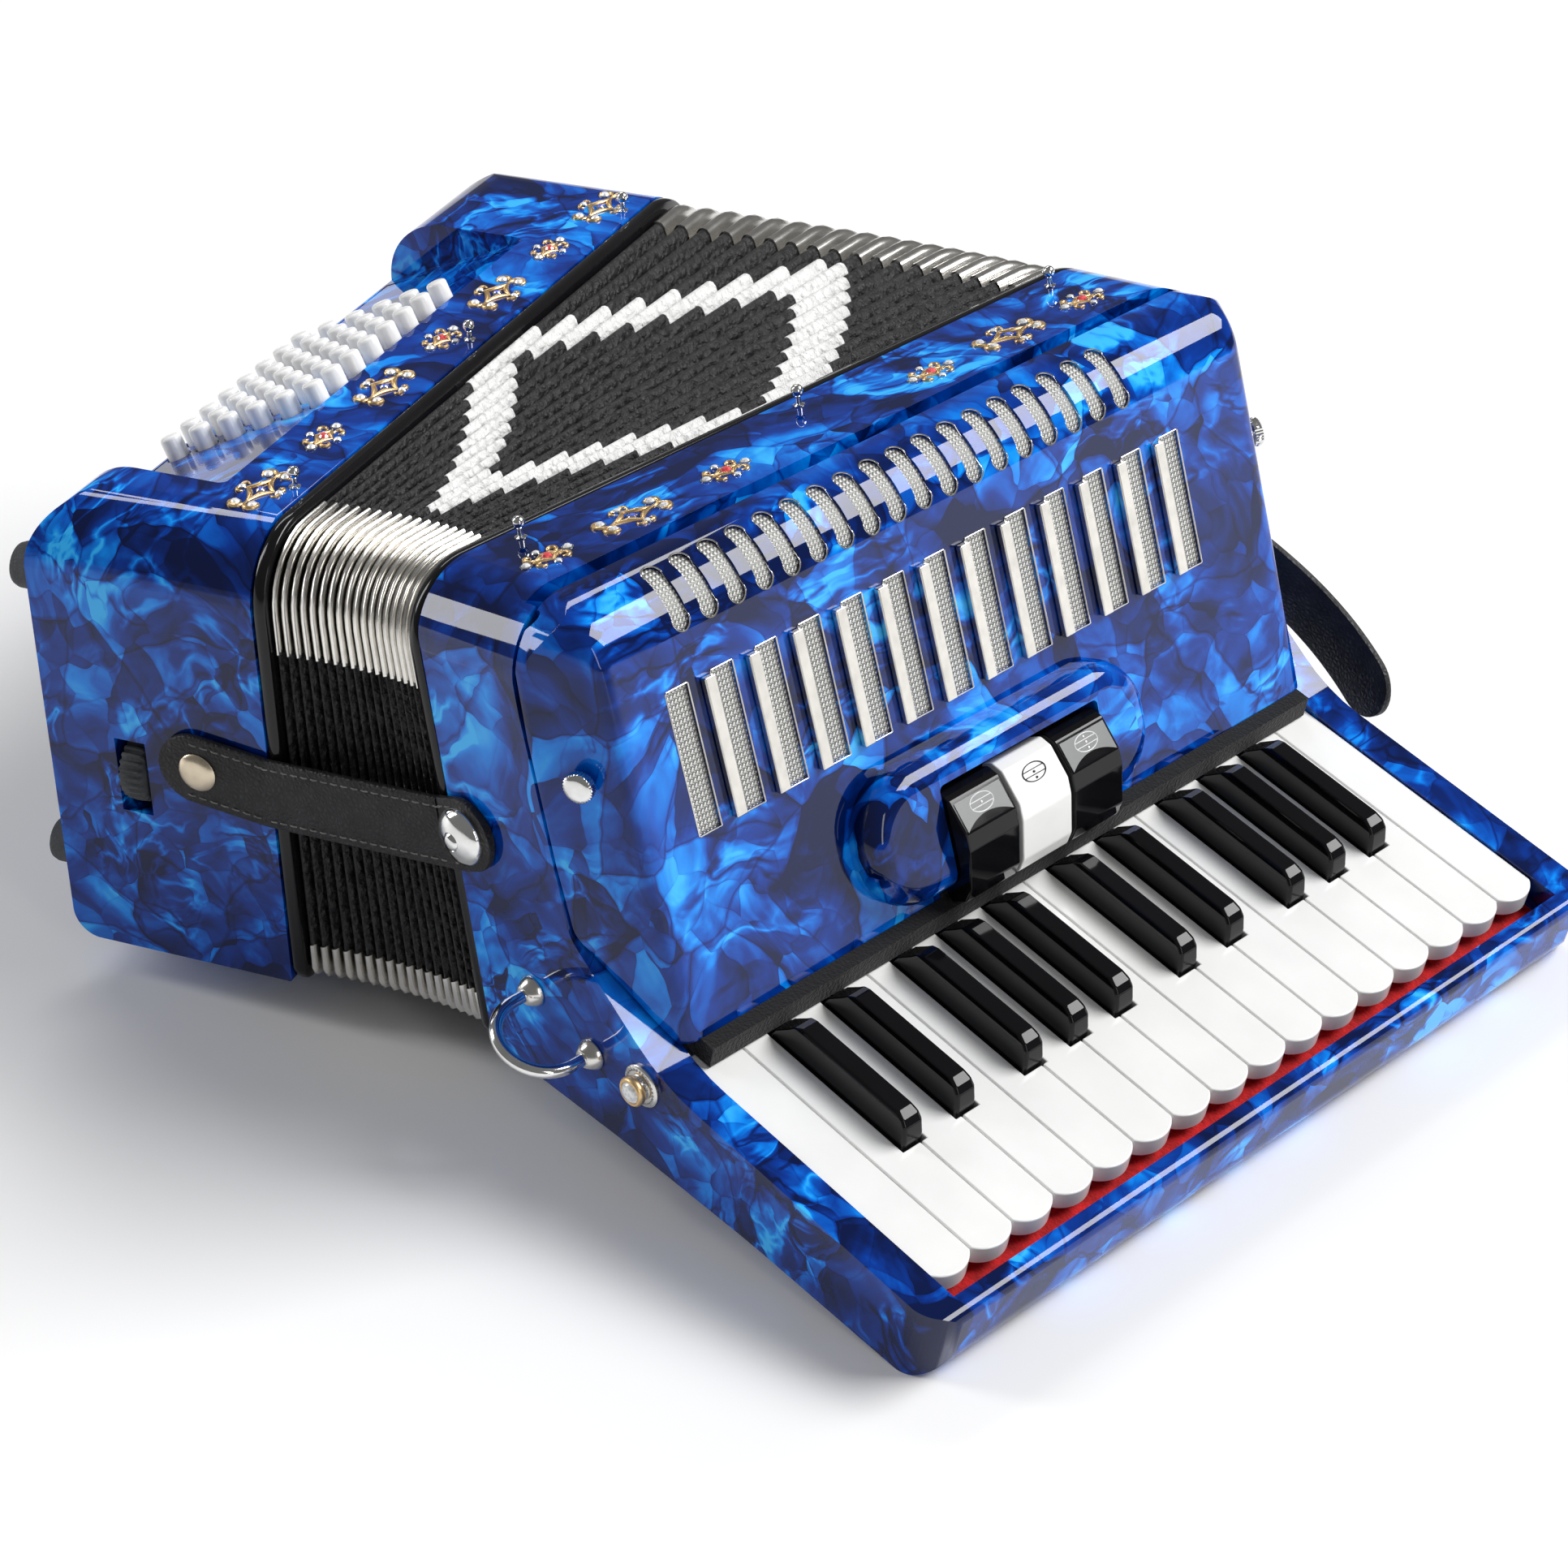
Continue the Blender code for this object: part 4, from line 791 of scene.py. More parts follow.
def registers():
    outline = [(39.5, 4.5, 0.8), (40.5, 10, 2.0), (38, 14.2, 2.0), (27, 19.4, 2.5),
               (21, 19.4, 6.0), (6, 15.6, 4.0), (1.2, 12, 2.5), (0.2, 5.2, 1.0), (3, 3.4, 0.5)]
    outline = rounded(outline, 12)
    for number in range(3):
        centre = REGISTER_Y + (number - 1) * REGISTER_PITCH

        def place(u, v, height):
            return on_grille(centre + height, u, v)
        look, ink = (WHITE, INK_DARK) if number == 1 else (BLACK, INK_LIGHT)
        body = "register_%d" % (number + 1)
        tab = extrude(outline, -REGISTER_HALF, REGISTER_HALF, place)
        piece("register_tab_%d" % (number + 1), tab, look, body,
              ["register_switch_%d" % (number + 1)], bevel=0.7, segments=3)
        slope = Vector((38 - 27, 14.2 - 19.4)).normalized()
        rise = Vector((-slope.y, slope.x))

        def facet(a, b, h):
            spot = Vector((32.3, 17.0)) + slope * a + rise * (h + 0.12)
            return on_grille(centre + b, spot.x, spot.y)
        if number != 1:
            edge = [(5.0, -10.6), (5.0, 10.6)]
            edge += [(-5.6 + 3.4 * (1 - (k / 8) ** 2), 10.6 * k / 8) for k in range(8, -9, -1)]
            panel = loft([[facet(a, b, h) for a, b in edge] for h in (-0.1, 0.03)])
            piece("register_panel_%d" % (number + 1), panel, GREY, body)
        ring = [facet(1.4 + 3.1 * cos(t), 5.2 * sin(t), 0)
                for t in (pi * k / 16 for k in range(32))]
        marks = [wire(ring, 0.2, 6, True)]
        for line in (0.4, 2.4):
            reach = 5.0 * sqrt(1 - ((line - 1.4) / 3.1) ** 2)
            marks.append(wire([facet(line, -reach, 0), facet(line, 0, 0), facet(line, reach, 0)],
                              0.17, 6))
        dots = ((1.4, 0.0), (-0.7, 0.0), (3.4, 0.0))
        for a, b in dots[:1 + number]:
            base = facet(a, b, -0.15)
            normal = facet(a, b, 1.0) - base
            marks.append(lathe(((0.45, 0), (0.42, 0.3), (0.2, 0.4)), base, normal, 12))
        piece("register_sign_%d" % (number + 1), join(marks), ink, body)


def keyboard():
    after = {2: -2.6, 3: 2.6, 5: -3.0, 6: 0.0, 7: 3.0, 9: -2.6, 10: 2.6, 12: -3.0, 13: 0.0,
             14: 3.0}
    blacks = {k: k * KEY_PITCH + shift for k, shift in after.items()}
    for index in range(16):
        left, right = index * KEY_PITCH + KEY_GAP, (index + 1) * KEY_PITCH - KEY_GAP
        tail_left = blacks[index] + BLACK_HALF if index in blacks else left
        tail_right = blacks[index + 1] - BLACK_HALF if index + 1 in blacks else right
        outline = [Vector((KEY_TAIL, tail_left))]
        if tail_left > left:
            outline += [Vector((KEY_STEP, tail_left)), Vector((KEY_STEP, left))]
        half = (right - left) / 2
        radius = (half * half + NOSE_RISE * NOSE_RISE) / (2 * NOSE_RISE)
        spread = asin(half / radius)
        for step in range(25):
            angle = -spread + 2 * spread * step / 24
            outline.append(Vector((KEY_TIP - radius + radius * cos(angle),
                                   left + half + radius * sin(angle))))
        if tail_right < right:
            outline += [Vector((KEY_STEP, right)), Vector((KEY_STEP, tail_right))]
        outline.append(Vector((KEY_TAIL, tail_right)))
        mesh = extrude(outline, -KEY_THICK, 0.0, in_key)
        name = "white_key_%02d" % (index + 1)
        mesh = join([mesh, lever((tail_left + tail_right) / 2)])
        piece(name + "_top", mesh, WHITE, name, [name], bevel=0.5, segments=3, limit=30)
    for number, centre in enumerate(blacks.values()):
        rings = []
        for x0, x1, wide, z in ((0.3, 61.5, 4.5, -7), (0.3, 61.5, 4.5, 0.5),
                                (1.5, 61.2, 4.45, 3.0), (6.5, 60.2, 4.2, 7.6),
                                (8.6, 58.4, 3.95, 9.8), (11.5, 55.2, 3.3, 11.3)):
            nose = 0.9
            rings.append([in_key(x, centre + y, z) for x, y in
                          ((x0, -wide), (x1 - nose, -wide), (x1, -wide + nose), (x1, wide - nose),
                           (x1 - nose, wide), (x0, wide))])
        name = "black_key_%02d" % (number + 1)
        piece(name + "_cap", join([loft(rings), lever(centre)]), BLACK, name, [name], bevel=0.4,
              segments=3, limit=14, smooth=50)


def lever(centre):
    """The tail of a key: over the axle and up to the valve pad behind the grille."""
    x, z, slot = -22.0, -6.0, 1.65
    side = [key_point(*point) for point in
            ((44, -6.2), (44, -9.4), (x + slot, -9.4), (x + slot, z),
             (x + slot * 0.6, z + slot * 0.9), (x - slot * 0.6, z + slot * 0.9), (x - slot, z),
             (x - slot, -9.4), (-27, -9.4), (-30, -5))]
    side += [(50.0, 66.0), (46.0, 66.0), (45.4, 60.0), (42.3, 60.0), (42.3, 88.0), (45.4, 88.0),
             (46.0, 74.0), (52.0, 73.0), key_point(-20, 1.2), key_point(-6, -6.2)]
    outline = [Vector(point) for point in side]
    return extrude(outline, centre + CHEEK - 2.5, centre + CHEEK + 2.5, along_y)


def carried_over():
    """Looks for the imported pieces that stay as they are."""
    for name, look in (("grille_felt", BLACK_FELT), ("key_bed_felt", RED_FELT),
                       ("key_axle", STEEL), ("treble_reed_block", REED_WOOD),
                       ("bass_reed_block", REED_WOOD)):
        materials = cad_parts[name].data.materials
        materials.clear()
        materials.append(look)


# ---------------------------------------------------------------- bellows


def fan_point(share, y, z):
    """A point of the fanned bellows; share runs from the treble frame to the bass frame."""
    closed = Vector((-FRAME_EDGE - share * (CLOSED - 2 * FRAME_EDGE), y, z))
    return swing(FAN_OPEN * share) @ closed


def with_outward(points, closed=False):
    """Outline points, each with the direction that leads out of the bellows."""
    return [(point, Vector((heading.y, -heading.x)))
            for point, heading in zip(points, headings(points, closed))]


def dense(path):
    """The closed outline with long straights split into shorter runs."""
    full = []
    for index, point in enumerate(path):
        after = path[(index + 1) % len(path)]
        full.append(point)
        pieces = int((after - point).length // 14)
        for step in range(1, pieces + 1):
            full.append(point.lerp(after, step / (pieces + 1)))
    return full


def fold_body(number, path, profile, closed):
    rings = []
    for point, outward in path:
        ring = []
        for across, depth in profile:
            spot = point - outward * depth
            ring.append(fan_point((number + 0.5 + across) / FOLDS, spot.x, spot.y))
        rings.append(ring)
    return loft(rings, closed)


def run(start, end, steps):
    return [Vector(start).lerp(Vector(end), step / steps) for step in range(steps + 1)]


def corner_runs(inset):
    """Runs of outline that the metal caps cover: long at the front, short at the back."""
    side, top = inset, BODY_DEPTH - inset
    radius = FRONT_RADIUS - inset
    arc = []
    for step in range(9):
        turn = radians(90.0 * step / 8)
        arc.append(Vector((side + radius - radius * sin(turn),
                           top - radius + radius * cos(turn))))
    front = [Vector((side + radius + 13, top))] + arc + [Vector((side, top - radius - 14))]
    small = 4.0
    back = [Vector((side, side + small + 9)), Vector((side, side + small)),
            Vector((side + small * 0.3, side + small * 0.3)), Vector((side + small, side)),
            Vector((side + small + 9, side))]
    runs = []
    for near in (front, back):
        runs += [near, [Vector((BODY_LENGTH - p.x, p.y)) for p in reversed(near)]]
    return runs


def fold_blend(number):
    share = (number + 0.5) / FOLDS
    low, high = 0.0, 1.0
    for _ in range(40):
        middle = (low + high) / 2
        if middle * middle * (3 - 2 * middle) < share:
            low = middle
        else:
            high = middle
    part = (low + high) / 2
    far = [fan_point(share + step / FOLDS / 2, BODY_LENGTH - 20, 90) for step in (-1, 1)]
    pitch = (far[1] - far[0]).length
    reach = 6 * part * (1 - part) * pitch * FOLDS
    turn = swing(FAN_OPEN * share).to_3x3()
    heading = turn @ Vector((-1, 0, 0))
    middle = fan_point(share, BODY_LENGTH / 2, 90)
    start = TREBLE @ (middle - heading * reach * part)
    end = TREBLE @ (middle + heading * reach * (1 - part))
    return ("treble", "bass", tuple(start), tuple(end))


def bellows():
    inset = BELLOWS_INSET
    closed = with_outward(dense(end_outline(inset, 9.0)), True)
    fold = ((-0.5, 9.6), (-0.24, 1.6), (-0.13, 0.25), (0.0, 0.0), (0.13, 0.25), (0.24, 1.6),
            (0.5, 9.6), (0.48, 11.0), (-0.48, 11.0))
    cap = ((-0.40, 5.2), (-0.29, 1.0), (-0.18, -0.5), (0.0, -0.95), (0.18, -0.5), (0.29, 1.0),
           (0.40, 5.2), (0.34, 5.4), (0.0, 2.2), (-0.34, 5.4))
    tape = ((-0.46, 8.0), (-0.27, 1.5), (-0.15, 0.0), (0.0, -0.3), (0.15, 0.0), (0.27, 1.5),
            (0.46, 8.0), (0.40, 8.3), (0.0, 2.0), (-0.40, 8.3))
    for number in range(FOLDS):
        moves = fold_blend(number)
        replaced = ["bellows_section_%d" % (number // 6 + 1)]
        piece("bellows_fold_%02d" % (number + 1), fold_body(number, closed, fold, True), CLOTH,
              None, replaced, smooth=60, blend=moves)
        caps = [fold_body(number, with_outward(corners), cap, False)
                for corners in corner_runs(inset)]
        piece("bellows_corners_%02d" % (number + 1), join(caps), SATIN, None, smooth=60,
              blend=moves)
        spread = 104.0 * (1 - abs(number - (FOLDS - 1) / 2) / (FOLDS / 2 + 0.5))
        middle = BODY_LENGTH / 2
        spans = [(middle + side * spread + TAPE_HALF, middle + side * spread - TAPE_HALF)
                 for side in (-1, 1)]
        if spread < TAPE_HALF:
            spans = [(middle + spread + 14, middle - spread - 14)]
        strips = []
        for first, last in spans:
            line = run((first, BODY_DEPTH - inset), (last, BODY_DEPTH - inset), 4)
            strips.append(fold_body(number, with_outward(line), tape, False))
        piece("bellows_tape_%02d" % (number + 1), join(strips), TAPE, None, smooth=60, blend=moves)


def bellows_frames():
    for body, x0, x1 in (("treble", -5.3, -0.3), ("bass", 0.3, 5.3)):
        name = body + "_bellows_frame"
        rings = []
        middle = (x0 + x1) / 2
        for x, inset in ((x0, 0.9), (x0 + 0.7, 0.2), (middle, 0.0), (x1 - 0.7, 0.2), (x1, 0.9),
                         (x1, 20.0), (x0, 20.0)):
            if inset < 5:
                outline = end_outline(inset, 6.0)
            else:
                outline = [Vector((min(max(u, 20.0), BODY_LENGTH - 20),
                                   min(max(v, 20.0), BODY_DEPTH - 20)))
                           for u, v in end_outline(0, 6.0)]
            rings.append([Vector((x, u, v)) for u, v in outline])
        piece("lacquer_" + name, loft(rings, True), LACQUER, body, [name], smooth=50)


# ---------------------------------------------------------------- bass side


def bass_side():
    outer = rounded([(-BASS_WIDTH, 0, 10), (0, 0, 1), (0, BODY_DEPTH, 1),
                     (-BASS_WIDTH, BODY_DEPTH, 24)], 6.0)
    outer = lip(extrude(outer, 0, BODY_LENGTH, along_y), 10.0, 8)
    slices = []
    for height, radius in ((-30, 26), (124, 26), (134, 32), (144, 41), (155, 52), (170, 64),
                           (200, 84)):
        outline = rounded([(-BASS_WIDTH - 0.1, -1, 0), (9, -1, 0), (9, BODY_LENGTH + 1, 0),
                           (-BASS_WIDTH - 0.1, BODY_LENGTH + 0.1, radius)], 5.0)
        slices.append([Vector((x, y, height)) for x, y in outline])
    far_corner = loft(slices)
    low_edge = on_board(0, 58, -8)
    bay = [Vector(point) for point in ((5, 10), (5, BODY_DEPTH - 8), (-24, BODY_DEPTH - 8),
                                       (low_edge.x, low_edge.z), (-BASS_WIDTH + 8, 10))]
    made = carve(outer, [
        ("INTERSECT", corner_mask(-10)),
        ("INTERSECT", far_corner),
        ("DIFFERENCE", extrude(rectangle(36, 0, 252, 90, 3.0), 0, 40, on_board)),
        ("DIFFERENCE", extrude(rectangle(42, 0.1, 246, 62.3), -14, 5, on_board)),
        ("DIFFERENCE", extrude(bay, 10, BODY_LENGTH - 22, along_y)),
        ("DIFFERENCE", box((-BASS_WIDTH - 5, 22, 16), (-BASS_WIDTH + 12, BODY_LENGTH - 22, 122))),
        ("DIFFERENCE", box((-60, -3, 56), (-48, 24, 84)))])
    piece("pearl_bass_casing", made, PEARL, "bass", ["bass_casing"], bevel=1.4, segments=3,
          limit=50)
    holes = []
    for row in range(BUTTON_ROWS):
        for column in range(BUTTON_COLUMNS):
            along, down = button_place(row, column)
            holes.append(extrude(disc(along, down, 4.4, 20), -6, 3, on_board))
    board = extrude(rectangle(42.3, 0.4, 245.7, 62.0), -3.0, -0.2, on_board)
    piece("pearl_button_board", carve(board, [("DIFFERENCE", join(holes))]), PEARL, "bass",
          ["bass_button_board"], bevel=0.3, limit=60)
    cover = box((-BASS_WIDTH + 0.4, 22.3, 16.3), (-BASS_WIDTH + 3.4, BODY_LENGTH - 22.3, 121.7))
    hole = extrude(disc(*AIR_AT, 6.2, 32), -BASS_WIDTH - 5, -BASS_WIDTH + 12, along_x)
    vents = [extrude(disc(y, z, 2.4, 16), -BASS_WIDTH - 5, -BASS_WIDTH + 12, along_x)
             for y in range(70, 266, 12) for z in (28, 36, 102, 110)]
    piece("pearl_bass_cover", carve(cover, [("DIFFERENCE", hole), ("DIFFERENCE", join(vents))]),
          PEARL, "bass", ["bass_cover"], bevel=0.5, segments=2, limit=50)
    screws = []
    for y in (28, 116, 208, BODY_LENGTH - 28):
        for z in (21, 117):
            screws.append(lathe(((2.6, 0), (2.6, 0.5), (2.0, 1.1), (0.7, 1.3), (0.6, 0.8)),
                                (-BASS_WIDTH + 0.3, y, z), (-1, 0, 0), 16))
    piece("bass_cover_screws", join(screws), CHROME, "bass")


def button_place(row, column):
    return 107.0 - 3.7 * row + 12.85 * column, 5.1 + 10.4 * row


def buttons():
    for row in range(BUTTON_ROWS):
        meshes = []
        for column in range(BUTTON_COLUMNS):
            along, down = button_place(row, column)
            base = on_board(along, down, -8.5)
            normal = on_board(along, down, 1.0) - on_board(along, down, 0.0)
            meshes.append(lathe(((3.9, 0), (3.9, 9), (3.85, 15.3), (3.6, 16.0), (2.9, 16.4),
                                 (1.6, 16.6), (0.3, 16.65)), base, normal, 24))
        first, down = button_place(row, 0)
        last, down = button_place(row, BUTTON_COLUMNS - 1)
        meshes.append(extrude(rectangle(first - 3, down - 3.2, last + 3, down + 3.2), -9.6, -8.2,
                              on_board))
        number = row + 1
        piece("bass_buttons_%d" % number, join(meshes), BUTTON, "button_row_%d" % number,
              ["bass_button_row_%d" % number], smooth=50)
    air = lathe(((9, -6), (9, -4.2), (5.4, -4.2), (5.4, 3.2), (5.0, 4.2), (3.6, 4.9), (0.4, 5.0)),
                (-BASS_WIDTH, *AIR_AT), (-1, 0, 0), 32)
    piece("air_button_cap", air, BUTTON, "air_valve", ["air_button"], smooth=50)


def bass_fittings():
    ridges = 26
    rings = []
    for x, scale in ((-58.5, 0.86), (-57.6, 0.97), (-54.0, 1.0), (-50.4, 0.97), (-49.5, 0.86)):
        ring = []
        for step in range(ridges * 4):
            turn = 2 * pi * step / (ridges * 4)
            radius = WHEEL_RADIUS * scale - (0.9 if step % 4 in (0, 1) else 0.0)
            ring.append(Vector((x, WHEEL_Y + radius * cos(turn), WHEEL_Z + radius * sin(turn))))
        rings.append(ring)
    piece("ribbed_strap_wheel", loft(rings), RUBBER, "thumb_wheel", ["strap_wheel"], smooth=40)
    edge = BASS_WIDTH + 0.3
    feet = []
    for y, z in ((13, 137), (284, 137), (13, 29), (312, 29)):
        sunk = -9.5 if y > 300 else 0
        profile = ((8.4, sunk), (8.5, 2.0), (8.0, 2.6), (8.0, 8.6), (7.4, 10.2), (6.0, 10.7),
                   (3.2, 10.7), (2.6, 9.2), (0.3, 9.0))
        feet.append(lathe(profile, (-edge, y, z), (-1, 0, 0), 32))
        feet.append(lathe(((2.0, 0), (2.0, edge - 71.8)), (-edge, y, z), (1, 0, 0), 16))
    feet += [box((-73.4, 11, 26), (-71.4, BODY_LENGTH - 11, 32)),
             box((-73.4, 10.5, 124), (-71.4, 288, 130)), box((-73.2, 11, 27), (-71.6, 15, 138)),
             box((-73.2, 282, 125), (-71.6, 286, 138))]
    piece("rubber_feet", join(feet), RUBBER, "bass", ["bass_feet"], smooth=40)


def hand_curve(t):
    """Place along the body, and height, of the hand strap at a share t of its length."""
    return HAND_START + HAND_LENGTH * t, HAND_LIFT * sin(pi * t)


def hand_strap():
    steps = 40
    rings = []
    for step in range(steps + 1):
        t = step / steps
        y, lift = hand_curve(t)
        base = -BASS_WIDTH - 0.3 - lift
        swell = 0.7 * sin(pi * t)
        ring = []
        for z, low, high in ((50.2, 0.6, 1.6), (51.5, 0.1, 2.6), (58, 0.0, 3.0 + swell * 0.6),
                             (71, 0.0, 3.2 + swell), (84, 0.0, 3.0 + swell * 0.6),
                             (90.5, 0.1, 2.6), (91.8, 0.6, 1.6)):
            ring.append((Vector((base - low, y, z)), Vector((base - high, y, z))))
        rings.append([pair[0] for pair in ring] + [pair[1] for pair in reversed(ring)])
    strap = piece("padded_hand_strap", loft(rings), PAD, "bass", ["hand_strap"], smooth=60)
    stitches = []
    for z in (54.0, 88.0):
        for step in range(62):
            y, lift = hand_curve((step + 0.5) / 62)
            spot = Vector((-BASS_WIDTH - 3.2 - lift, y, z))
            stitches.append(wire([spot + Vector((0.1, -1.3, 0)), spot + Vector((-0.25, 0, 0)),
                                  spot + Vector((0.1, 1.3, 0))], 0.32, 6))
    piece("hand_strap_stitching", join(stitches), THREAD, "bass")
    plates = []
    for y in (38.0, BODY_LENGTH - 38.0):
        plates.append(lathe(((4.2, 0), (4.2, 0.5), (3.0, 1.5), (1.2, 2.0), (0.2, 2.1)),
                            (-BASS_WIDTH - 3.6 - HAND_LIFT * sin(pi * 4.0 / HAND_LENGTH), y, 71.0),
                            (-1, 0, 0), 28))
    piece("hand_strap_rivets", join(plates), SATIN, "bass", smooth=50)


# ---------------------------------------------------------------- straps, rings, trim

STRAP_HALF = 13.0
STRAP_THICK = 2.6
STITCH_MARGIN = 3.0
STITCH_PITCH = 4.2


def measured(path):
    """Distance along a path to each of its points."""
    lengths = [0.0]
    for before, after in zip(path, path[1:]):
        lengths.append(lengths[-1] + (after - before).length)
    return lengths


def at_station(path, outward, lengths, station):
    """Point, outward direction and heading at a distance along a path."""
    span = max(k for k in range(len(path) - 1) if lengths[k] <= station)
    share = (station - lengths[span]) / (lengths[span + 1] - lengths[span])
    return (path[span].lerp(path[span + 1], share),
            outward[span].lerp(outward[span + 1], share).normalized(), path[span + 1] - path[span])


def strap_rings(path, outward):
    """Cross-sections of a leather strap with round ends and softened edges."""
    lengths = measured(path)
    whole = lengths[-1]
    half, count = STRAP_HALF, 64
    stations = [half * (1 - cos(pi / 2 * k / 10)) for k in range(11)]
    stations += [half + (whole - 2 * half) * k / count for k in range(1, count)]
    stations += [whole - station for station in reversed(stations[:11])]
    rings = []
    for station in stations:
        station = min(max(station, 0.02), whole - 0.02)
        point, out, heading = at_station(path, outward, lengths, station)
        across = out.cross(heading).normalized()
        edge = max(half - min(station, whole - station), 0.0)
        wide = sqrt(max(half ** 2 - edge ** 2, 0.01))
        ring = []
        for side, rise in ((-1.0, 0.4), (-0.985, 0.08), (-0.94, 0.0), (0.0, 0.0), (0.94, 0.0),
                           (0.985, 0.08), (1.0, 0.4), (1.0, 0.62), (0.985, 0.9), (0.95, 1.0),
                           (0.0, 1.03), (-0.95, 1.0), (-0.985, 0.9), (-1.0, 0.62)):
            ring.append(point + across * side * wide + out * rise * STRAP_THICK)
        rings.append(ring)
    return rings


def smooth_path(points, normals, per_span=10):
    """Points and outward directions along a Catmull-Rom run through a few of them."""
    path, outward = [], []
    count = len(points)
    for span in range(count - 1):
        a, b = points[max(span - 1, 0)], points[span]
        c, d = points[span + 1], points[min(span + 2, count - 1)]
        for step in range(per_span):
            t = step / per_span
            path.append(0.5 * ((2 * b) + (c - a) * t + (2 * a - 5 * b + 4 * c - d) * t * t
                               + (3 * b - a - 3 * c + d) * t ** 3))
            outward.append(normals[span].lerp(normals[span + 1], t).normalized())
    return path + [points[-1]], outward + [normals[-1]]


def stitch_rows(path, outward):
    """Slanted thread stitches along both edges of a strap."""
    meshes = []
    lengths = measured(path)
    count = int((lengths[-1] - 2 * STRAP_HALF) // STITCH_PITCH)
    for step in range(count + 1):
        point, out, heading = at_station(path, outward, lengths, STRAP_HALF + step * STITCH_PITCH)
        heading = heading.normalized()
        across = out.cross(heading).normalized()
        for side in (-1, 1):
            spot = point + across * side * (STRAP_HALF - STITCH_MARGIN) + out * STRAP_THICK
            meshes.append(wire([spot - heading * 1.4 - out * 0.15, spot + out * 0.22,
                                spot + heading * 1.4 - out * 0.15], 0.3, 6))
    return meshes


def straps():
    to_local = TREBLE.inverted() @ BASS
    out_bass = (to_local.to_3x3() @ Vector((0, -1, 0))).normalized()
    out_treble = Vector((0, -1, 0))
    points = [to_local @ Vector((x, -0.35, z)) for x, z in ((-41, 81.2), (-20, 78.6), (1, 76))]
    points += [Vector((x, -0.35, z)) for x, z in ((-1, 79), (10, 81.5), (22, 85))]
    normals = [out_bass] * 3 + [out_treble] * 3
    start = TREBLE @ Vector((2, 0, 80))
    end = BASS @ Vector((-2, 0, 78))
    moves = ("treble", "bass", tuple(start), tuple(end))
    piece("snapped_bellows_strap", loft(strap_rings(points, normals)), LEATHER, None,
          ["top_bellows_strap"], smooth=50, blend=moves)
    piece("snapped_strap_stitching", join(stitch_rows(points, normals)), THREAD, None, smooth=50,
          blend=moves)
    snap = ((10.0, 0.0), (10.2, 1.0), (9.6, 2.2), (7.6, 3.6), (5.0, 4.5), (3.4, 4.9), (3.3, 4.4),
            (2.9, 5.4), (1.6, 6.0), (0.2, 6.1))
    piece("snap_dome", lathe(snap, (9.0, -2.95, 81.2), (0, -1, 0), 40), CHROME, "treble",
          smooth=50)
    rivet = ((6.9, 0), (7.0, 0.6), (6.3, 1.3), (4.2, 1.9), (2.0, 2.15), (0.2, 2.2))
    piece("strap_rivet", lathe(rivet, (-26.0, -2.95, 79.4), (0, -1, 0), 36), CHAMPAGNE, "bass",
          smooth=50)

    pivot = Vector((30.0, BODY_LENGTH + 0.35, 71.0))
    tip = Vector((102.0, pivot.y, 4.0))
    heading = (tip - pivot).normalized()
    begin = pivot - heading * STRAP_HALF
    points, normals = [], []
    for step in range(8):
        turn = 0.75 * pi * max(step - 1, 0) / 6
        points.append(begin.lerp(tip, step / 7) + Vector((0, 15.0 * sin(turn), 0)))
        slope = 0.0 if step < 2 else -0.42 * cos(turn)
        normals.append((Vector((0, 1, 0)) + heading * slope).normalized())
    path, outward = smooth_path(points, normals, 6)
    piece("hanging_bellows_strap", loft(strap_rings(path, outward)), LEATHER, "loose_strap",
          ["bottom_bellows_strap"], smooth=50)
    piece("hanging_strap_stitching", join(stitch_rows(path, outward)), THREAD, "loose_strap",
          smooth=50)
    piece("hanging_strap_rivet", lathe(rivet, (30.0, BODY_LENGTH + 2.9, 71.0), (0, 1, 0), 36),
          CHAMPAGNE, "loose_strap", smooth=50)
    spot = path[-8]
    piece("hanging_strap_snap", lathe(snap[:6], spot + outward[-8] * 2.6, outward[-8], 36), CHROME,
          "loose_strap", smooth=50)


def rings():
    feet = (Vector((28.0, 0, 28.5)), Vector((54.0, 0, 13.4)))
    middle = (feet[0] + feet[1]) / 2
    half = (feet[1] - feet[0]) / 2
    for name, face, outward in (("near", 0.0, -1), ("far", BODY_LENGTH, 1)):
        def out(distance):
            return Vector((0, face + outward * distance, 0))
        points = [feet[0] + out(0.3), feet[0] + out(5.0)]
        for step in range(25):
            turn = pi * step / 24
            points.append(middle - half * cos(turn) + out(9.0 + half.length * sin(turn)))
        points += [feet[1] + out(5.0), feet[1] + out(0.3)]
        piece("strap_staple_" + name, wire(points, 2.2, 20), CHROME, "treble",
              ["strap_ring_" + name], smooth=60)
        washers = [lathe(((5.6, 0.2), (5.6, 0.9), (4.4, 2.6), (3.2, 4.2), (2.4, 4.4)),
                         foot + Vector((0, face, 0)), (0, outward, 0), 32) for foot in feet]
        piece("strap_washers_" + name, join(washers), SATIN, "treble", smooth=40)


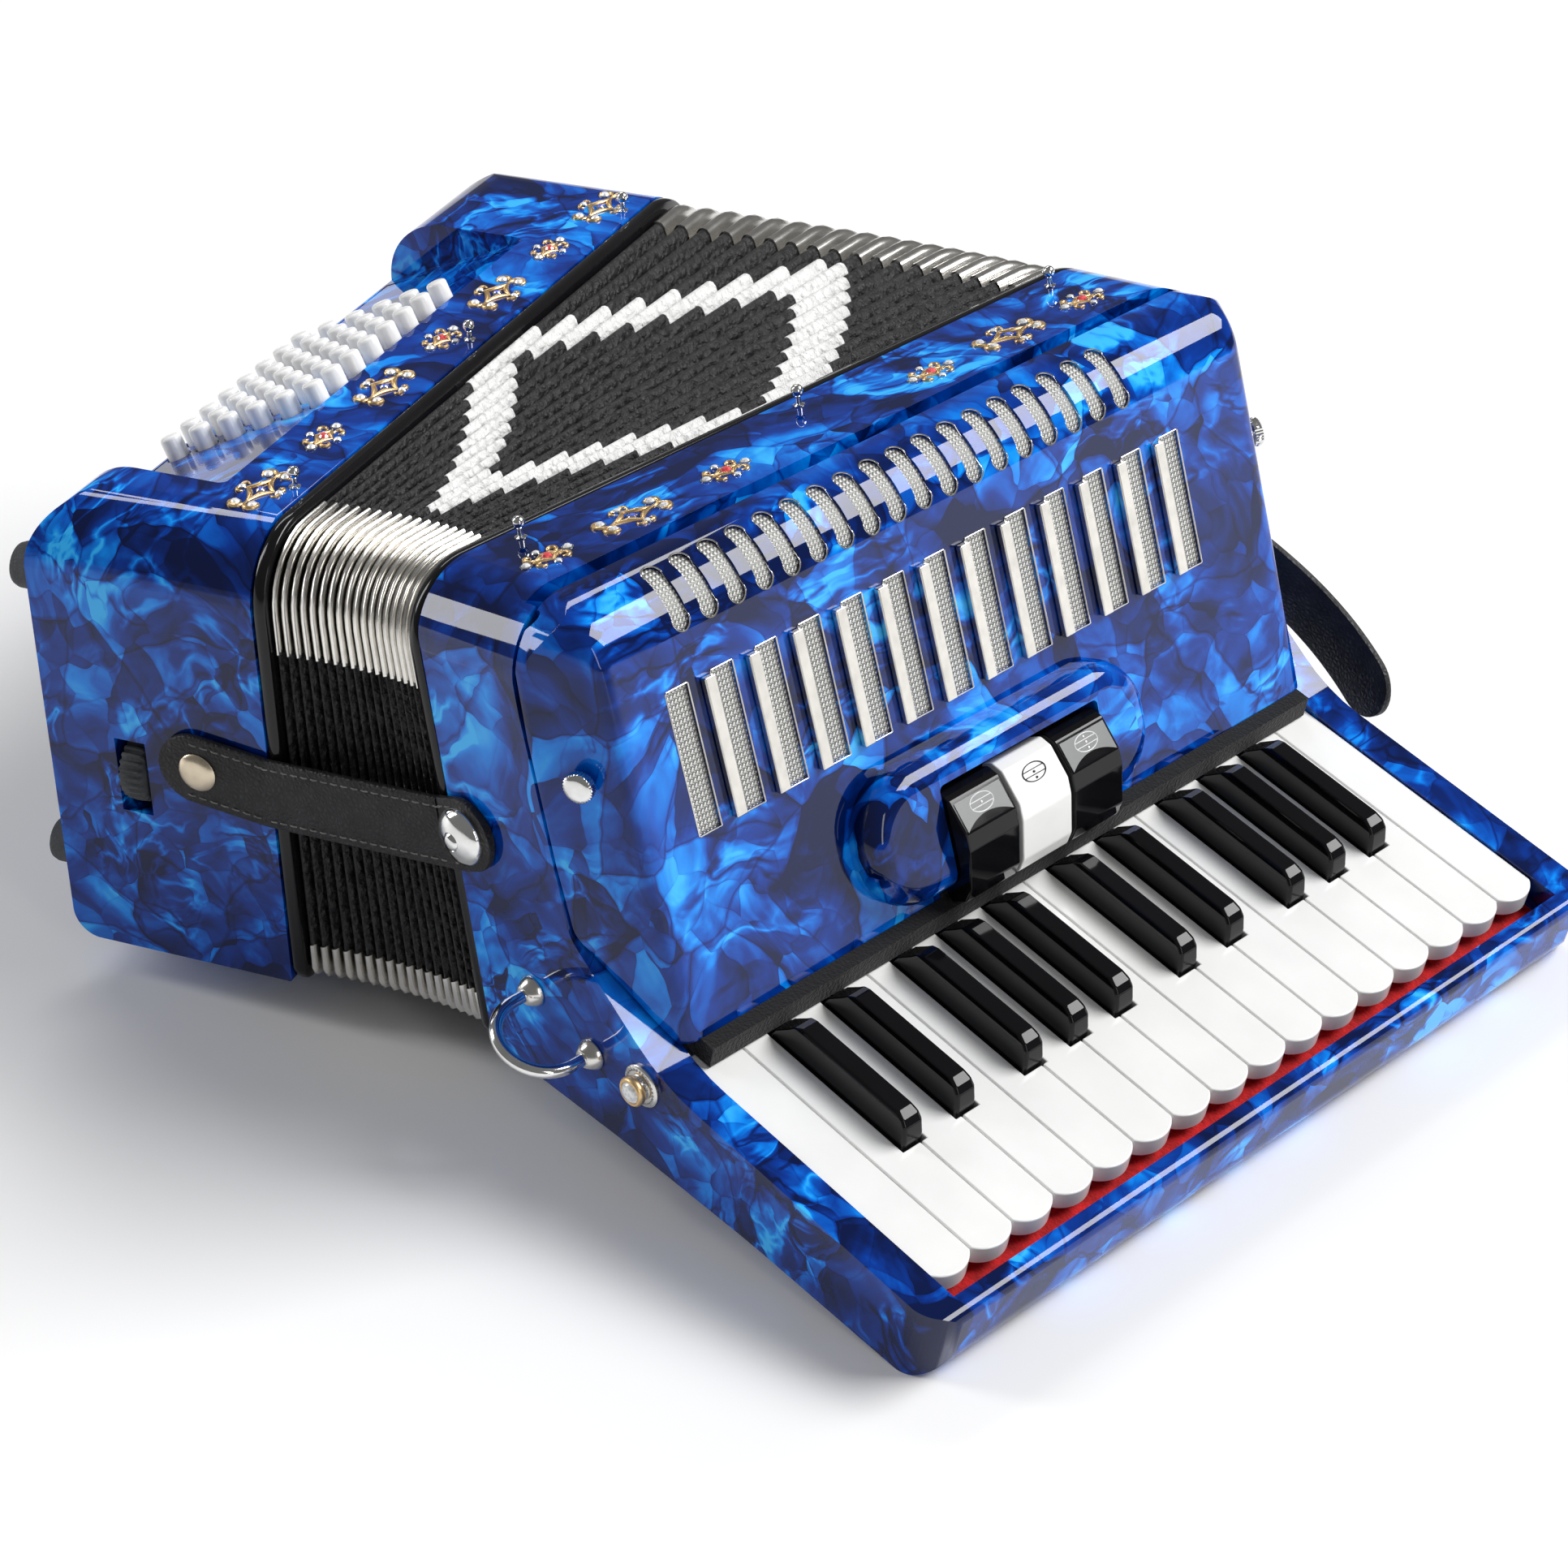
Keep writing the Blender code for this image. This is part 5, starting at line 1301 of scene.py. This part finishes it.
def ends_trim():
    """Strap knob on the cheek, and the knurled screws that hold the grille."""
    for name, look, sides, smooth, profile in (
            ("plate", SATIN, 40, 40, ((7.6, 0.1), (7.6, 0.8), (6.9, 1.4), (4.6, 1.6), (4.5, 3.4))),
            ("crown", GOLD, 40, 40, ((4.9, 3.2), (5.2, 3.6), (5.2, 5.2), (4.7, 5.8), (3.9, 5.8),
                                     (3.8, 5.2))),
            ("dome", CLEAR_GEM, 28, 60, ((3.9, 5.1), (3.7, 5.9), (2.8, 6.7), (1.5, 7.1),
                                         (0.2, 7.2)))):
        piece("strap_knob_" + name, lathe(profile, (KNOB_X, 0, KNOB_Z), (0, -1, 0), sides), look,
              "treble", smooth=smooth)
    beads = []
    for step in range(28):
        turn = 2 * pi * step / 28
        spot = Vector((KNOB_X + 6.2 * cos(turn), -1.3, KNOB_Z + 6.2 * sin(turn)))
        beads.append(lathe(((0.5, 0), (0.45, 0.35), (0.2, 0.55)), spot, (0, -1, 0), 8))
    piece("strap_knob_beads", join(beads), STEEL, "treble")
    screws = []
    for face, outward in ((5.6, -1), (BODY_LENGTH - 5.6, 1)):
        centre = Vector((66.0, face, 112.0))
        axis = Vector((0.42, outward, 0)).normalized()
        side = axis.orthogonal().normalized()
        other = axis.cross(side)
        layers = []
        for height, less in ((0.4, 0.3), (0.9, 0.0), (3.4, 0.0), (4.0, 0.6), (4.5, 2.0),
                             (4.6, 4.9)):
            ring = []
            for step in range(60):
                turn = 2 * pi * step / 60
                size = 5.2 - less - (0.25 if step % 2 and less < 1 else 0.0)
                ring.append(centre + axis * height
                            + (side * cos(turn) + other * sin(turn)) * size)
            layers.append(ring)
        screws.append(loft(layers))
        screws.append(lathe(((2.2, -3), (2.2, 0.6)), centre, axis, 20))
    piece("grille_thumbscrews", join(screws), CHROME, "treble", smooth=30)


def curl(centre, size, start, sweep, place):
    """Gold tendril that winds inward."""
    points = []
    for step in range(15):
        t = step / 14
        turn = radians(start + sweep * t)
        radius = size * (1 - 0.55 * t)
        points.append(place(centre[0] + radius * cos(turn), centre[1] + radius * sin(turn),
                            0.1))
    return points


def bend(start, pull, end, place):
    """Gold line from start to end, drawn towards pull."""
    points = []
    for step in range(9):
        t = step / 8
        u, v = [a * (1 - t) ** 2 + 2 * b * t * (1 - t) + c * t * t
                for a, b, c in zip(start, pull, end)]
        points.append(place(u, v, 0.1))
    return points


def ribbon(points, widest):
    """Tapering gold strand, thick in the middle and fine at both ends."""
    def size(index):
        return widest * (0.3 + 0.7 * sin(pi * (index + 0.5) / len(points)))
    return wire(points, size, 6)


def stone(place, u, v, radius):
    """Faceted rhinestone in a small raised setting."""
    base = place(u, v, 0.0)
    normal = place(u, v, 1.0) - base
    cut = lathe(((radius, 0.25), (radius, 0.5), (radius * 0.62, radius * 0.75),
                 (radius * 0.1, radius * 0.8)), base, normal, 8)
    setting = lathe(((radius * 1.25, 0.0), (radius * 1.3, 0.35), (radius * 1.02, 0.65),
                     (radius * 0.98, 0.3)), base, normal, 16)
    return cut, setting


def ornaments(body, place, motifs):
    """Gold scrollwork set with stones: wide motifs and small ones, as (y, is_wide)."""
    strands, settings = [], []
    stones = {"clear": [], "red": [], "blue": []}
    for y, wide in motifs:
        for flip in (-1, 1):
            for turn in (-1, 1):
                def local(u, v, h):
                    return place(y + turn * u, flip * v, h)
                if wide:
                    strands.append(ribbon(bend((9.0, 0), (2.4, 1.2), (0, 5.6), local), 1.1))
                    strands.append(ribbon(curl((10.6, 3.3), 3.5, 235, 290, local), 1.0))
                    strands.append(ribbon(curl((2.0, 6.6), 2.1, 215, -280, local), 0.75))
                else:
                    strands.append(ribbon(bend((6.0, 0), (1.8, 0.9), (0, 3.6), local), 0.85))
                    strands.append(ribbon(curl((4.6, 3.6), 2.2, 250, 280, local), 0.8))
        if wide:
            marks = [(0, 0, 1.3, "blue")]
            marks += [(u, v, 1.75, "clear") for u in (-10.8, 10.8) for v in (-3.5, 3.5)]
            marks += [(0, v, 1.3, "clear") for v in (-7.4, 7.4)]
        else:
            marks = [(0, 0, 1.9, "red")]
            marks += [(u, 0, 1.6, "clear") for u in (-8.6, 8.6)]
            marks += [(0, v, 1.2, "clear") for v in (-5.6, 5.6)]
        for u, v, radius, kind in marks:
            cut, setting = stone(place, y + u, v, radius)
            stones[kind].append(cut)
            settings.append(setting)
    piece(body + "_gold_scrolls", join(strands), GOLD, body, smooth=60)
    piece(body + "_stone_settings", join(settings), CHROME, body)
    for kind, look in (("clear", CLEAR_GEM), ("red", RED_GEM), ("blue", BLUE_GEM)):
        piece(body + "_" + kind + "_stones", join(stones[kind]), look, body, smooth=5)


def pins(body, x):
    """Ball-headed pins that hold the bellows frame to the casing."""
    meshes = []
    for y in (42.0, 165.0, 288.0):
        meshes.append(lathe(((2.0, 0.0), (2.1, 0.5), (1.0, 1.0), (0.85, 3.4), (1.5, 3.8),
                             (2.0, 4.7), (2.15, 5.6), (1.9, 6.6), (1.2, 7.4), (0.2, 7.7)),
                            (x, y, BODY_DEPTH - 0.1), (0, 0, 1), 24))
    piece(body + "_bellows_pins", join(meshes), CHROME, body, smooth=60)


def trim():
    def on_treble(u, v, h):
        return Vector((27.0 + v, u, BODY_DEPTH + h))

    def on_bass(u, v, h):
        return Vector((-14.5 + v * 0.95, u, BODY_DEPTH + h))
    treble_motifs = [(36, False), (72, True), (113, False), (208, False), (246, True),
                     (283, False)]
    bass_motifs = [(36 + 42.0 * k, k % 2 == 0) for k in range(7)]
    ornaments("treble", on_treble, treble_motifs)
    ornaments("bass", on_bass, bass_motifs)
    pins("treble", 7.0)
    pins("bass", -5.0)


# ---------------------------------------------------------------- stage

FLOOR_HALF = 6.0
EYE = Vector((978.3, -667.0, 665.7))
VIEW_AXES = ((0.680, 0.721, -0.132), (-0.690, 0.570, -0.446))
LENS = 93.62
SENSOR = 36.0
SKY_STRENGTH = 0.17
LAMP_AIM = Vector((0, 0, 0.1))
# name, place, width and height in metres, and power in watts
LAMPS = (("shoulder_box", (1.8, 2.3, 2.9), 2.6, 1.9, 190),
         ("overhead_strip", (-2.6, 1.2, 3.0), 2.6, 0.5, 30),
         ("left_strip", (-2.9, -1.9, 1.7), 0.9, 2.4, 52),
         ("right_strip", (3.9, -0.9, 1.5), 0.5, 2.4, 18))


def stage():
    scene = bpy.context.scene
    floor = bpy.data.meshes.new("studio_floor")
    size = FLOOR_HALF
    floor.from_pydata([(-size, -size, 0), (size, -size, 0), (size, size, 0), (-size, size, 0)],
                      [], [(0, 1, 2, 3)])
    ground = placed("studio_floor", floor)
    pale = Look("pale_floor", (0.93, 0.93, 0.93), 0.6)
    pale.colour(pale.ramp(pale.noise(3.0, 2.0), ((0.3, (0.92, 0.92, 0.92)),
                                                 (0.7, (0.94, 0.94, 0.94)))))
    floor.materials.append(pale.made)

    right, ahead = [(TREBLE.to_3x3() @ Vector(axis)).normalized() for axis in VIEW_AXES]
    ahead = ahead - right * ahead.dot(right)
    ahead.normalize()
    up = right.cross(ahead)
    eye = TREBLE @ EYE
    camera = bpy.data.cameras.new("camera")
    camera.lens = LENS
    camera.sensor_width = SENSOR
    camera.clip_start = 0.05
    shot = placed("camera", camera)
    turn = Matrix((right, up, -ahead)).transposed().to_4x4()
    shot.matrix_world = Matrix.Translation(eye) @ turn
    scene.camera = shot

    for name, place, width, height, power in LAMPS:
        light = bpy.data.lights.new(name, "AREA")
        light.shape = "RECTANGLE"
        light.size = width
        light.size_y = height
        light.energy = power
        made = placed(name, light)
        made.location = place
        aim = LAMP_AIM - Vector(place)
        made.rotation_euler = aim.to_track_quat("-Z", "Y").to_euler()
    world = bpy.data.worlds.new("studio")
    scene.world = world
    world.use_nodes = True
    backdrop = world.node_tree.nodes["Background"]
    backdrop.inputs["Color"].default_value = (1.0, 1.0, 1.0, 1.0)
    backdrop.inputs["Strength"].default_value = SKY_STRENGTH
    scene.view_settings.view_transform = "Standard"


def main():
    treble_casing()
    treble_grille()
    bars()
    registers()
    keyboard()
    grille_cloth()
    slot_rims()
    carried_over()
    bellows()
    bellows_frames()
    bass_side()
    buttons()
    bass_fittings()
    hand_strap()
    straps()
    rings()
    ends_trim()
    trim()
    stage()


main()
